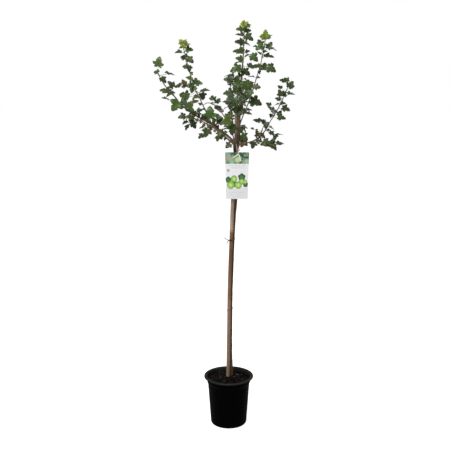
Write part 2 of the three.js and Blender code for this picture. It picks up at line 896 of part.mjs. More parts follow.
// Young leaves crowded round a shoot's tip, in a spiral that opens downwards.
function rosette(stem, curve) {
  const [count, youngest] = stem.rosette ?? [0, 0];
  return Array.from({ length: count }, (_, i) => {
    const along = 1 - 0.004 * i;
    const bearing = radians(200 + SPIRAL * i);
    const rise = radians(62 - 9 * i);
    const length = youngest * (0.72 + 0.07 * i);
    const level = Math.cos(rise);
    const out = new THREE.Vector3(Math.cos(bearing) * level, Math.sin(bearing) * level, Math.sin(rise));
    const leave = out.clone().addScaledVector(curve.getTangent(along), 0.5).normalize();
    const foot = curve.getPoint(along);
    const base = foot.clone().addScaledVector(leave, 0.5 * length + STALK_CLEARANCE);
    return { foot, base, out, length, face: 45 };
  });
}

function leafyStem(name) {
  const stem = STEMS[name];
  const curve = smooth(stem.path);
  const parts = [wood(stem, stem.joint, 1, GAP)];
  const leaves = stem.leaves.map((row, index) => standing(stem, curve, row, index));
  leaves.push(...rosette(stem, curve));
  leaves.forEach((frame, index) => parts.push(leaf(frame, stem.seed, index)));
  parts.push(...spines(curve, stem, curve.getLength()));
  return piece(name, join([...parts, ...stubs(name)]), "foliage");
}

// ---------------------------------------------------------------- label and ties

function label() {
  const { topWidth, bottomWidth, height, cornerRadius: r } = LABEL;
  const top = topWidth / 2;
  const foot = bottomWidth / 2;
  const card = new THREE.Shape();
  card.moveTo(-top + r, 0);
  card.quadraticCurveTo(-top, 0, -top, -r);
  card.lineTo(-foot, -height + r);
  card.quadraticCurveTo(-foot, -height, -foot + r, -height);
  card.lineTo(foot - r, -height);
  card.quadraticCurveTo(foot, -height, foot, -height + r);
  card.lineTo(top, -r);
  card.quadraticCurveTo(top, 0, top - r, 0);
  card.closePath();
  const hole = new THREE.Path();
  hole.absarc(LABEL.holeOffset, -LABEL.holeDrop, LABEL.holeRadius, 0, 2 * Math.PI, true);
  card.holes.push(hole);
  const body = new THREE.ExtrudeGeometry(card, {
    depth: LABEL.thickness,
    bevelEnabled: false,
    curveSegments: 4,
  });
  body.translate(0, 0, -LABEL.thickness);
  body.rotateX(Math.PI / 2 + radians(LABEL.lean));
  body.translate(...LABEL.centre);
  return piece("label", solid(body), "label");
}

// A soft strap through the label's hole, round the stem and the cane and back over the label's top edge,
// with its two ends hanging from the knot in front of the card.
function labelStrap() {
  const loop = smooth(
    [
      [34, -27.4, 1050],
      [34, -24.4, 1052],
      [32.8, -22, 1051],
      [27.5, -21.5, 1048.5],
      [21, -21, 1047],
      [15, -17, 1047],
      [12, -4, 1049],
      [16, 10, 1053],
      [26, 16.6, 1057],
      [35.5, 11, 1061],
      [39.5, -4, 1065],
      [38, -16, 1067],
      [35, -24.5, 1064.5],
      [34, -28, 1057.5],
    ],
    true,
  );
  const count = 24;
  const ring = Array.from({ length: count }, (_, i) => station(loop, i / count, 1.2));
  const ends = [
    [
      [33, -27.6, 1050],
      [25, -28.2, 1045],
      [14, -27.4, 1037],
    ],
    [
      [35, -27.6, 1051],
      [40, -28.2, 1041],
      [43, -27.4, 1026],
    ],
  ];
  const tails = ends.map((path) => {
    const curve = smooth(path);
    return solid(tube([0, 0.5, 1].map((t) => station(curve, t, 1.2 - 0.3 * t)), 5, Y));
  });
  const knot = new THREE.SphereGeometry(2.4, 7, 5);
  knot.translate(34, -27.8, 1050.5);
  return piece("label_strap", join([solid(tube(ring, 5, Z, true)), solid(knot), ...tails]), "strap");
}

// Soft wire drawn once round the stem and the cane and twisted in front of the cane, with two short ends
// sticking out.
function wireTie() {
  const stem = smooth(TRUNK.path);
  const pole = smooth(CANE.path);
  const behind = stem.getPoint(placeAt(stem, WIRE.height));
  const front = pole.getPoint(placeAt(pole, WIRE.height));
  const turn = Math.atan2(behind.y - front.y, behind.x - front.x);
  const reach = WIRE.clearance + WIRE.radius;
  const bend = (centre, radius, middle) =>
    [-90, -54, -18, 18, 54, 90].map((degrees) => {
      const angle = middle + radians(degrees);
      const x = centre.x + (radius + reach) * Math.cos(angle);
      const y = centre.y + (radius + reach) * Math.sin(angle);
      return [x, y, WIRE.height + 1.5 * Math.cos(angle)];
    });
  const loop = smooth(
    [
      ...bend(behind, between(TRUNK.girth, WIRE.height), turn),
      ...bend(front, caneRadius(WIRE.height), turn + Math.PI),
    ],
    true,
  );
  const count = 24;
  const ring = Array.from({ length: count }, (_, i) => station(loop, i / count, WIRE.radius));
  // The ends, from the middle of the cane.
  const ends = [
    [
      [-3.5, -8, 0],
      [-11.5, -9.5, 2],
      [-18.5, -10.5, 5],
      [-26.5, -10.5, 11],
    ],
    [
      [-5.5, -8.2, 0],
      [-10.5, -10.5, -1],
      [-13.5, -11.5, -6],
      [-17, -11.5, -13],
    ],
  ];
  const tails = ends.map((path) => {
    const curve = smooth(path.map(([x, y, z]) => [front.x + x, front.y + y, WIRE.height + z]));
    return solid(tube([0, 0.33, 0.67, 1].map((t) => station(curve, t, WIRE.radius)), 5, Z));
  });
  const twist = new THREE.CylinderGeometry(1.7, 1.7, 9, 6);
  twist.rotateZ(Math.PI / 2);
  twist.translate(front.x - 4.5, front.y - 8, WIRE.height);
  return piece("wire_tie", join([solid(tube(ring, 5, Z, true)), solid(twist), ...tails]), "wire");
}

// ---------------------------------------------------------------- the whole plant

const support = new THREE.Group();
support.add(cane(), wireTie(), label(), labelStrap());

const plant = new THREE.Group();
plant.add(trunk(), ...Object.keys(STEMS).map(leafyStem));

const gooseberry = new THREE.Group();
gooseberry.add(pot(), soil(), support, plant);

export default gooseberry;
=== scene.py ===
"""Dresses a young gooseberry grown as a standard: a thorny grafted bush on a tall bare stem.

The plant stands in a round nursery pot with a bamboo cane, a wire tie and a hanging card label. Every
length is in metres unless it is named as millimetres. +Z is up, the origin is the middle of the pot's flat
base, and -Y is the front.
"""

import json
import logging
import math
from collections.abc import Callable, Sequence
from dataclasses import dataclass, field
from enum import Enum, IntEnum
from typing import Any

import bpy
import numpy as np
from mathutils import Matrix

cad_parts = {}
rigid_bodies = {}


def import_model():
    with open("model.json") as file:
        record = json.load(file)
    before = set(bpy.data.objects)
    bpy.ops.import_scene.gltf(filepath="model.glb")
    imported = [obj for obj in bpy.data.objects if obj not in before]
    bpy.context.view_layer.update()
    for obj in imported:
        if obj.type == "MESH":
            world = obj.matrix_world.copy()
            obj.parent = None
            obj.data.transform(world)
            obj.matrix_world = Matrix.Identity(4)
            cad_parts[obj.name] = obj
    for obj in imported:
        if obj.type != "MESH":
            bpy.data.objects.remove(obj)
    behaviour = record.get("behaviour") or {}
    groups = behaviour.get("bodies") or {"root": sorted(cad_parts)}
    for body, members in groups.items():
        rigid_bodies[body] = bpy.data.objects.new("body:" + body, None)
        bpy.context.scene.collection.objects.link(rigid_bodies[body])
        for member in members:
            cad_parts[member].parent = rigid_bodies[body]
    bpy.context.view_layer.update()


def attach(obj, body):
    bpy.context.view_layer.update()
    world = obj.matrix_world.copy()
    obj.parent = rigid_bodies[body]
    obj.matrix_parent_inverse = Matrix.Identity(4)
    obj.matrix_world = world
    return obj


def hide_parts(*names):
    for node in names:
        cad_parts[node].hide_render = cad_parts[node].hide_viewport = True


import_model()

Array = np.ndarray
Vec = tuple[float, float, float]
Vecs = tuple[Vec, ...]
Pairs = tuple[tuple[float, float], ...]
Colour = tuple[float, float, float]
Socket = bpy.types.NodeSocket
Tree = bpy.types.NodeTree
Material = bpy.types.Material
Object = bpy.types.Object
Wiring = dict[str, Socket]

LOG = logging.getLogger("gooseberry")
MM = 0.001
SPIRAL = 137.5  # degrees from one bud or leaf to the next round a shoot
CHIPS = 1  # which of the compost's materials the chips wear
BLADES, THORNS = 1, 2  # which of a leafy stem's materials its leaves and thorns wear
X_AXIS = np.array([1.0, 0.0, 0.0])
Y_AXIS = np.array([0.0, 1.0, 0.0])
Z_AXIS = np.array([0.0, 0.0, 1.0])


class Slot(Enum):
    """The record's material slots."""

    POT = "nursery_pot"
    SOIL = "compost"
    TRUNK = "bark"
    CANE = "bamboo"
    WIRE = "coated_wire"
    LABEL = "label_card"
    STRAP = "label_strap"
    FOLIAGE = "foliage"


class Series(IntEnum):
    """Where the draws of each kind start to count."""

    STAND = 400
    THORN_PLACE = 500
    THORN_TWIN = 600
    THORN_TURN = 700
    THORN_LENGTH = 800
    WAVE = 900
    YOUNG_AGE = 950
    SHADE = 970
    FOOT_THORN = 1100
    FOOT_THORN_TURN = 1200
    FOOT_THORN_LENGTH = 1300


# ---- numbers and lines


def draw(seed: int, count: Array) -> Array:
    """Draws from 0 to 1: the fraction of 43758.5453 times the sine of 12.9898 count + 78.233 seed."""
    wave = np.sin(np.asarray(count) * 12.9898 + seed * 78.233) * 43758.5453
    return wave - np.floor(wave)


def unit(vectors: Array) -> Array:
    """Vectors of length 1 along the last axis."""
    return vectors / np.maximum(np.linalg.norm(vectors, axis=-1, keepdims=True), 1e-12)


def ripple(points: Array, pitch: float, seed: int) -> Array:
    """Smooth irregular waves.

    Formula: the sum of seven sines along random directions, divided by two.

    Args:
        points: Places, with the last axis of length 3.
        pitch: The mean distance between crests.
        seed: Seed of the directions, paces and phases.

    Returns:
        Heights of about -1 to 1.
    """
    random = np.random.default_rng(seed)
    ways = unit(random.normal(size=(7, 3))) * random.uniform(0.6, 1.5, (7, 1))
    phases = random.uniform(0, 2 * np.pi, 7)
    return np.sin(points @ ways.T * (2 * np.pi / pitch) + phases).sum(-1) / 2


def join(*parts: Array) -> Array:
    """Values side by side along a new last axis."""
    return np.stack(np.broadcast_arrays(*parts), -1)


def bell(distance: Array, width: float) -> Array:
    """A smooth hump, 1 in its middle: e to the power of minus the squared share of its width."""
    return np.exp(-((distance / width) ** 2))


class Path:
    """A smooth line through points: a Catmull-Rom spline with tension one half.

    A place on it is a share from 0 to 1, with the same share for every span.
    """

    def __init__(self, points: Sequence[Sequence[float]], closed: bool = False) -> None:
        """Keeps the points, given in millimetres, and whether the last one runs on into the first."""
        self.knots = np.array(points, float) * MM
        self.closed = closed

    def at(self, share: Array) -> Array:
        """Places along the line.

        Formula: on each span, the cubic through its two ends whose slopes are half the way between the
        neighbours. An open end's missing neighbour is its own mirror image.

        Args:
            share: Shares from 0 to 1.

        Returns:
            One point for every share.
        """
        knots = self.knots
        count = len(knots)
        if self.closed:
            padded = np.vstack([knots[-1:], knots, knots[:2]])
            spans = count
        else:
            padded = np.vstack([2 * knots[0] - knots[1], knots, 2 * knots[-1] - knots[-2]])
            spans = count - 1
        at = np.clip(np.asarray(share, float), 0, 1) * spans
        span = np.minimum(at.astype(int), spans - 1)
        w = (at - span)[..., None]
        before, start, end, after = (padded[span + k] for k in range(4))
        leave, arrive = (end - before) / 2, (after - start) / 2
        square = -3 * start + 3 * end - 2 * leave - arrive
        cube = 2 * start - 2 * end + leave + arrive
        return start + w * (leave + w * (square + w * cube))

    def way(self, share: Array) -> Array:
        """Unit directions along the line, from two places close to each share.

        Args:
            share: Shares from 0 to 1.

        Returns:
            One direction for every share.
        """
        share = np.asarray(share, float)
        step = 1e-4
        if self.closed:
            return unit(self.at((share + step) % 1) - self.at((share - step) % 1))
        return unit(self.at(np.minimum(share + step, 1)) - self.at(np.maximum(share - step, 0)))

    def length(self) -> float:
        """The line's length, over 200 straight steps."""
        return float(np.linalg.norm(np.diff(self.at(np.linspace(0, 1, 201)), axis=0), axis=1).sum())

    def share_at(self, height: Array) -> Array:
        """The shares at which a rising line reaches heights."""
        shares = np.linspace(0, 1, 2001)
        return np.interp(height, np.maximum.accumulate(self.at(shares)[:, 2]), shares)


# ---- shapes


@dataclass
class Patch:
    """One closed surface: its points, its faces of four or three corners, and values at its points."""

    points: Array
    quads: Array
    triangles: Array
    flow: Array  # a coordinate that follows the surface's own growth
    mark: Array  # three values that the finish reads
    soft: Array | None = None  # which quads are shaded smooth, where some aren't
    finish: int = 0  # which of the piece's materials it wears

    def wearing(self, finish: int) -> "Patch":
        """The same patch in the piece's material of that number."""
        self.finish = finish
        return self


def placed(name: str, data: bpy.types.ID) -> Object:
    """A new object of that data, linked to the scene.

    Args:
        name: The object's name.
        data: Its mesh, light or camera.

    Returns:
        The object.
    """
    made = bpy.data.objects.new(name, data)
    bpy.context.scene.collection.objects.link(made)
    return made


def build(name: str, materials: Sequence[Material], patches: Sequence[Patch]) -> Object:
    """Makes one mesh object of closed patches, with their flow and marks as its attributes.

    Args:
        name: The object's name.
        materials: Its materials.
        patches: Its patches, each in one of the materials.

    Returns:
        The object, at the origin.
    """
    starts = np.cumsum([0] + [len(p.points) for p in patches])
    corners, sizes, finishes, smooth = [], [], [], []
    for patch, start in zip(patches, starts):
        for faces in (patch.quads, patch.triangles):
            corners.append((faces + start).ravel())
            sizes.append(np.full(len(faces), faces.shape[1] if len(faces) else 0))
            finishes.append(np.full(len(faces), patch.finish))
        quads_soft = np.ones(len(patch.quads), bool) if patch.soft is None else patch.soft
        smooth += [quads_soft, np.ones(len(patch.triangles), bool)]
    points = np.vstack([p.points for p in patches])
    corner = np.concatenate(corners)
    size = np.concatenate(sizes)
    mesh = bpy.data.meshes.new(name)
    mesh.vertices.add(len(points))
    mesh.vertices.foreach_set("co", points.astype(np.float32).ravel())
    mesh.loops.add(len(corner))
    mesh.loops.foreach_set("vertex_index", corner.astype(np.int32))
    mesh.polygons.add(len(size))
    mesh.polygons.foreach_set("loop_start", (np.cumsum(size) - size).astype(np.int32))
    mesh.update(calc_edges=True)
    mesh.validate()
    mesh.polygons.foreach_set("material_index", np.concatenate(finishes).astype(np.int32))
    mesh.polygons.foreach_set("use_smooth", np.concatenate(smooth))
    for kind in ("flow", "mark"):
        values = np.vstack([getattr(p, kind) for p in patches]).astype(np.float32)
        mesh.attributes.new(kind, "FLOAT_VECTOR", "POINT").data.foreach_set("vector", values.ravel())
    for material in materials:
        mesh.materials.append(material)
    return placed(name, mesh)


def deliver(made: Object, node: str) -> None:
    """Rides a finished piece on the part's one body, and says what it stands for.

    Args:
        made: The piece.
        node: The CAD node that it replaces.
    """
    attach(made, "root")
    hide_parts(node)
    LOG.info("%s: %d faces", made.name, len(made.data.polygons))


def tube_faces(rings: int, sides: int, closed: bool = False) -> tuple[Array, Array]:
    """The faces of a tube whose points are its rings and then, unless it is closed, its two poles.

    Args:
        rings: How many rings there are. They turn from across to over.
        sides: How many points each ring has.
        closed: Whether the last ring runs on into the first, so that there are no poles.

    Returns:
        The corners of the four-cornered faces, and those of the triangles round the poles.
    """
    count = rings * sides
    here = np.arange(rings if closed else rings - 1)[:, None] * sides
    after = (here + sides) % count
    k = np.arange(sides)
    turned = (k + 1) % sides
    quads = join(here + k, here + turned, after + turned, after + k).reshape(-1, 4)
    if closed:
        return quads, np.zeros((0, 3), int)
    pole = np.full(sides, count)
    last = count - sides
    ends = [join(pole, turned, k), join(pole + 1, last + k, last + turned)]
    return quads, np.vstack(ends)


def bodies(points: Array, faces: tuple[Array, Array], flow: Array, marks: Array) -> Patch:
    """One patch from like bodies.

    Args:
        points: The points, of shape (bodies, points, 3), as are flow and marks.
        faces: The four-cornered faces and the triangles of one body.
        flow: The flow at every point.
        marks: The finish's values at every point.

    Returns:
        The patch.
    """
    starts = (np.arange(len(points)) * points.shape[1])[:, None, None]
    quads, triangles = (part + starts for part in faces)
    flat = [part.reshape(-1, 3) for part in (points, triangles, flow, marks)]
    return Patch(flat[0], quads.reshape(-1, 4), *flat[1:])


def sweep(
    line: Array, ways: Array, across: Array, over: Array, reference: Array, mark: Array, closed: bool = False
) -> Patch:
    """Closed tubes: an oval or worked section carried along a line, or along many lines at once.

    Formula: each ring's point is the line's point, plus its across radius times the cosine of its turn along
    the across direction, plus its over radius times the sine along the over direction. Across is the
    reference crossed with the way, and over is the way crossed with across.

    Args:
        line: The points of one line, or of many lines along the first axis: one for each ring.
        ways: The unit directions there.
        across: Radii across, one for each point of each ring.
        over: Radii over, in the same form.
        reference: A direction that the line never follows.
        mark: The finish's three values, one row for each ring.
        closed: Whether a tube closes on itself and so has no ends.

    Returns:
        The patch. Its flow is the point's place in the section and the distance along the line.
    """
    rings, sides = across.shape[-2:]
    turn = np.arange(sides) * (2 * np.pi / sides)
    sideways = unit(np.cross(reference, ways))
    upright = np.cross(ways, sideways)
    section = join(across * np.cos(turn), over * np.sin(turn))
    axes = np.stack([sideways, upright], -2)
    points = line[..., None, :] + section[..., :1] * axes[..., :1, :] + section[..., 1:] * axes[..., 1:, :]
    steps = np.linalg.norm(np.diff(line, axis=-2), axis=-1)
    along = np.concatenate([0 * steps[..., :1], np.cumsum(steps, -1)], -1)[..., None]
    flow = np.concatenate([section, np.broadcast_to(along[..., None], (*section.shape[:-1], 1))], -1)
    marks = np.broadcast_to(mark[..., None, :], points.shape)
    ends = (line, along * Z_AXIS, np.broadcast_to(mark, line.shape))
    grown = []
    for part, end in zip((points, flow, marks), ends):
        part = part.reshape(-1, rings * sides, 3)
        poles = end.reshape(-1, rings, 3)[:, [0, -1]]
        grown.append(part if closed else np.concatenate([part, poles], 1))
    return bodies(grown[0], tube_faces(rings, sides, closed), grown[1], grown[2])


def round_sweep(path: Path, shares: Array, radius: float | Array, sides: int, reference: Array) -> Patch:
    """A round tube along a path.

    Args:
        path: The line.
        shares: The places of its rings.
        radius: The radius at each ring, or one for all.
        sides: How many points each ring has.
        reference: A direction that the path never follows.

    Returns:
        The patch, with no marks.
    """
    radii = np.broadcast_to(np.asarray(radius, float)[..., None], (len(shares), sides))
    line = path.at(shares)
    return sweep(line, path.way(shares), radii, radii, reference, 0 * line, path.closed)


def lathe(profile: Sequence[Sequence[float]], sides: int) -> Patch:
    """A turned body: a profile of radius and height in millimetres carried round the Z axis.

    Formula: each point is radius times the cosine and the sine of its turn, at the profile's height. The
    profile runs from the axis round the body and back to the axis, anticlockwise seen from the front.

    Args:
        profile: Radius and height of every ring, without the two points on the axis.
        sides: How many points each ring has.

    Returns:
        The patch, closed by a pole at each end.
    """
    rows = np.array(profile, float) * MM
    turn = np.arange(sides) * (2 * np.pi / sides)
    level = join(np.cos(turn), np.sin(turn), 0)
    rings = rows[:, :1, None] * level + rows[:, 1:, None] * Z_AXIS
    points = np.vstack([rings.reshape(-1, 3), rows[[0, -1], 1:] * Z_AXIS])
    return Patch(points, *tube_faces(len(rows), sides), points.copy(), 0 * points)


def egg(rings: int, sides: int) -> tuple[Array, Array, Array]:
    """A ball of radius 1 with poles on Z: its points, its four-cornered faces and its triangles.

    Formula: the half circle of the cosine and the sine of the rise, turned round Z.

    Args:
        rings: How many rings lie between the poles.
        sides: How many points each ring has.

    Returns:
        The three arrays.
    """
    rise = (np.arange(rings) + 1) / (rings + 1) * np.pi - np.pi / 2
    ball = lathe(join(np.cos(rise), np.sin(rise)) / MM, sides)
    ball.points[-2:] = [-Z_AXIS, Z_AXIS]
    return ball.points, ball.quads, ball.triangles


def repeat(
    template: tuple[Array, Array, Array], places: Array, axes: Array, marks: Array, bumps: Array | None = None
) -> Patch:
    """Copies of one small closed shape, as one patch.

    Formula: every point is its copy's place plus the template's point turned by the copy's three axes, whose
    lengths are the copy's sizes.

    Args:
        template: Points, four-cornered faces and triangles.
        places: One place for each copy.
        axes: Three axes for each copy, of shape (copies, 3, 3).
        marks: The finish's three values for each copy.
        bumps: How much further out each template point stands on each copy, as a share.

    Returns:
        The patch. Its flow is the template's point, shifted for each copy.
    """
    shape, *faces = template
    out = shape[None] if bumps is None else shape[None] * (1 + bumps[..., None])
    points = places[:, None] + out @ axes
    flow = shape[None] + 9 * draw(3, np.arange(len(places)))[:, None, None]
    return bodies(points, (faces[0], faces[1]), flow, np.broadcast_to(marks[:, None], points.shape))


# ---- node trees


class Board:
    """A node tree that is being wired. Most methods add one node and return what it puts out."""

    def __init__(self, tree: Tree) -> None:
        """Keeps the tree."""
        self.tree = tree

    def feed(self, socket: Socket, value: Any) -> None:
        """Links a socket to what another node puts out, or sets it to a plain value.

        Args:
            socket: The socket.
            value: Another node's output, or a plain value.
        """
        if isinstance(value, Socket):
            self.tree.links.new(value, socket)
        elif isinstance(value, tuple) and socket.type == "RGBA":
            socket.default_value = (*value, 1.0)
        else:
            socket.default_value = value

    def node(self, kind: str, inputs: dict[Any, Any] | None = None, **settings: Any) -> bpy.types.Node:
        """Adds a node.

        Args:
            kind: The last part of the node type's name, such as "Math".
            inputs: What feeds its inputs, by their names or numbers.
            **settings: Its properties.

        Returns:
            The node.
        """
        made = self.tree.nodes.new("ShaderNode" + kind)
        for name, value in settings.items():
            setattr(made, name, value)
        for key, value in (inputs or {}).items():
            self.feed(made.inputs[key], value)
        return made

    def math(self, operation: str, a: Any, b: Any = 0.0, clamp: bool = False) -> Socket:
        """One sum on two values, held from 0 to 1 where it is to be clamped."""
        return self.node("Math", {0: a, 1: b}, operation=operation, use_clamp=clamp).outputs[0]

    def times(self, a: Any, b: Any) -> Socket:
        """Two values multiplied."""
        return self.math("MULTIPLY", a, b)

    def minus(self, a: Any, b: Any) -> Socket:
        """The first value less the second."""
        return self.math("SUBTRACT", a, b)

    def multiply(self, vector: Socket, by: Vec) -> Socket:
        """A vector whose three parts are each multiplied."""
        return self.node("VectorMath", {0: vector, 1: by}, operation="MULTIPLY").outputs[0]

    def parts(self, vector: Socket) -> Sequence[Socket]:
        """A vector's three parts."""
        return self.node("SeparateXYZ", {0: vector}).outputs

    def noise(self, vector: Socket, scale: Any, detail: float = 3.0, rough: float = 0.55) -> Socket:
        """Cloudy noise from 0 to 1, with the fineness, the finer layers and their strength."""
        inputs = {"Vector": vector, "Scale": scale, "Detail": detail, "Roughness": rough}
        return self.node("TexNoise", inputs).outputs[0]

    def cells(self, vector: Socket, scale: Any) -> Socket:
        """Distance to the nearest of many scattered points."""
        return self.node("TexVoronoi", {"Vector": vector, "Scale": scale}).outputs["Distance"]

    def spread(self, value: Any, low: float, high: float, to: tuple[float, float] = (0, 1)) -> Socket:
        """A value carried from one range to another and held inside it."""
        inputs = {"Value": value, "From Min": low, "From Max": high, "To Min": to[0], "To Max": to[1]}
        return self.node("MapRange", inputs, clamp=True).outputs[0]

    def ramp(self, value: Socket, stops: Sequence[tuple[float, Colour]]) -> Socket:
        """A colour that goes through the stops as the value rises.

        Args:
            value: The value.
            stops: Values and their colours.

        Returns:
            The colour.
        """
        made = self.node("ValToRGB", {0: value})
        bar = made.color_ramp.elements
        while len(bar) < len(stops):
            bar.new(0.5)
        for element, (at, colour) in zip(bar, stops):
            element.position = at
            element.color = (*colour, 1.0)
        return made.outputs[0]

    def mix(self, share: Any, a: Any, b: Any) -> Socket:
        """Two colours mixed by how much of the second is in them."""
        return self.node("Mix", {0: share, 6: a, 7: b}, data_type="RGBA").outputs[2]

    def tint(self, colour: Any, value: Socket) -> Socket:
        """A colour multiplied by a value that varies."""
        return self.node("VectorMath", {0: colour, "Scale": value}, operation="SCALE").outputs[0]

    def place(self) -> Socket:
        """Object coordinates."""
        return self.node("TexCoord").outputs["Object"]

    def use(self, group: Tree, **inputs: Any) -> Wiring:
        """Places a shared group with its own inputs, and returns what it puts out by name."""
        outputs = self.node("Group", inputs, node_tree=group).outputs
        return {output.name: output for output in outputs}


def shared(
    name: str,
    takes: dict[str, Any],
    gives: Sequence[str],
    wire: Callable[[Board, Wiring], Wiring],
) -> Tree:
    """Makes a shader node group that puts out values only.

    Args:
        name: The group's name.
        takes: Its inputs, each with its usual value; None marks a vector.
        gives: The names of the values that it puts out.
        wire: Wires the group from its inputs and returns its outputs by name.

    Returns:
        The group.
    """
    tree = bpy.data.node_groups.new(name, "ShaderNodeTree")
    for label, usual in takes.items():
        kind = "NodeSocketVector" if usual is None else "NodeSocketFloat"
        socket = tree.interface.new_socket(name=label, in_out="INPUT", socket_type=kind)
        if usual is not None:
            socket.default_value = usual
    for label in gives:
        tree.interface.new_socket(name=label, in_out="OUTPUT", socket_type="NodeSocketFloat")
    entry = tree.nodes.new("NodeGroupInput")
    leave = tree.nodes.new("NodeGroupOutput")
    made = wire(Board(tree), {socket.name: socket for socket in entry.outputs if socket.name})
    for label in gives:
        tree.links.new(made[label], leave.inputs[label])
    return tree


class Effects:
    """The effects that several finishes share, each one a node group."""

    def __init__(self) -> None:
        """Makes every group once."""
        self.grain = shared("grain", {"Vector": None, "Fineness": 900.0}, ["Streak", "Height"], self._grain)
        spots = {"Vector": None, "Fineness": 500.0, "Amount": 0.3}
        self.speckle = shared("speckle", spots, ["Mask"], self._speckle)
        self.weather = shared("weather", {"Vector": None, "Fineness": 30.0}, ["Patch", "Dust"], self._weather)
        self.veins = shared("veins", {"Vector": None}, ["Vein", "Quilt"], self._veins)
        oval = {"Across": 0, "Down": 0, "Middle": 0, "Depth": 0, "Width": 0.1, "Height": 0.1, "Lobes": 0}
        self.disc = shared("disc", oval, ["Mask", "Nearness", "Stripe"], self._disc)

    @staticmethod
    def _grain(board: Board, takes: Wiring) -> Wiring:
        """Fibres and cracks that run along the third part of the vector.

        Args:
            board: The group's board.
            takes: The group's inputs.

        Returns:
            Its outputs.
        """
        long = board.multiply(takes["Vector"], (1.0, 1.0, 0.07))
        fibre = board.noise(long, takes["Fineness"], 4.0, 0.65)
        short = board.multiply(takes["Vector"], (1.0, 1.0, 0.3))
        crack = board.cells(short, board.times(takes["Fineness"], 0.5))
        crack = board.spread(crack, 0.0, 0.45)
        height = board.times(board.math("ADD", fibre, crack), 0.5)
        return {"Streak": board.spread(fibre, 0.32, 0.68), "Height": height}

    @staticmethod
    def _speckle(board: Board, takes: Wiring) -> Wiring:
        """Small round spots, more of them for a larger amount.

        Args:
            board: The group's board.
            takes: The group's inputs.

        Returns:
            Its outputs.
        """
        near = board.cells(takes["Vector"], takes["Fineness"])
        thin = board.noise(takes["Vector"], board.times(takes["Fineness"], 0.21))
        edge = board.times(takes["Amount"], thin)
        return {"Mask": board.spread(board.minus(edge, near), 0.0, 0.06)}

    @staticmethod
    def _weather(board: Board, takes: Wiring) -> Wiring:
        """Large cloudy patches, and a fine dust that gathers inside them.

        Args:
            board: The group's board.
            takes: The group's inputs.

        Returns:
            Its outputs.
        """
        patch = board.spread(board.noise(takes["Vector"], takes["Fineness"], 5.0), 0.38, 0.66)
        fine = board.noise(takes["Vector"], board.times(takes["Fineness"], 14.0), 6.0, 0.7)
        dust = board.times(patch, board.spread(fine, 0.4, 0.7))
        return {"Patch": patch, "Dust": dust}

    @staticmethod
    def _veins(board: Board, takes: Wiring) -> Wiring:
        """Five main veins fanned from the leaf's foot, with ribs off the midrib.

        The distance to a vein at an angle is the across part times the cosine less the along part times
        the sine, and a vein thins as it nears the margin.

        Args:
            board: The group's board.
            takes: The group's inputs.

        Returns:
            Its outputs.
        """
        x, y, _ = board.parts(takes["Vector"])
        side = board.math("ABSOLUTE", x)
        reach = board.math("SQRT", board.math("ADD", board.times(x, x), board.times(y, y)))
        width = board.spread(reach, 0.0, 1.0, (0.022, 0.006))
        vein: Socket | None = None
        for degrees in (0.0, 54.0, 96.0):
            angle = math.radians(degrees)
            gap = board.minus(board.times(side, math.cos(angle)), board.times(y, math.sin(angle)))
            near = board.math("DIVIDE", board.math("ABSOLUTE", gap), width)
            line = board.math("SUBTRACT", 1.0, near, True)
            vein = line if vein is None else board.math("MAXIMUM", vein, line)
        slant = board.minus(y, board.times(side, 0.75))
        wave = board.math("PINGPONG", slant, 0.075)
        rib = board.spread(wave, 0.0, 0.012, (0.55, 0.0))
        quilt = board.spread(wave, 0.0, 0.075)
        return {"Vein": board.math("MAXIMUM", vein, rib), "Quilt": quilt}

    @staticmethod
    def _disc(board: Board, takes: Wiring) -> Wiring:
        """An oval mark with up to five lobes, how near each place is to its middle, and its pale meridians.

        The distance is one at the rim, and longer by the lobes times the cosine of five times the angle. A
        meridian is where the across part by the half width at that depth crosses a multiple of 0.4.

        Args:
            board: The group's board.
            takes: The group's inputs.

        Returns:
            Its outputs.
        """
        x = board.math("DIVIDE", board.minus(takes["Across"], takes["Middle"]), takes["Width"])
        y = board.math("DIVIDE", board.minus(takes["Down"], takes["Depth"]), takes["Height"])
        tall = board.times(y, y)
        far = board.math("SQRT", board.math("ADD", board.times(x, x), tall))
        angle = board.times(board.math("ARCTAN2", x, y), 5.0)
        lobe = board.times(board.math("COSINE", angle), takes["Lobes"])
        far = board.times(far, board.math("ADD", 1.0, lobe))
        half = board.math("SQRT", board.math("MAXIMUM", board.minus(1.0, tall), 0.05))
        line = board.math("PINGPONG", board.math("DIVIDE", x, half), 0.2)
        near = board.spread(far, 0.0, 1.0, (1, 0))
        stripe = board.times(board.spread(line, 0.0, 0.05, (0.6, 0.0)), board.spread(near, 0.0, 0.2))
        return {"Mask": board.spread(far, 0.94, 1.0, (1, 0)), "Nearness": near, "Stripe": stripe}


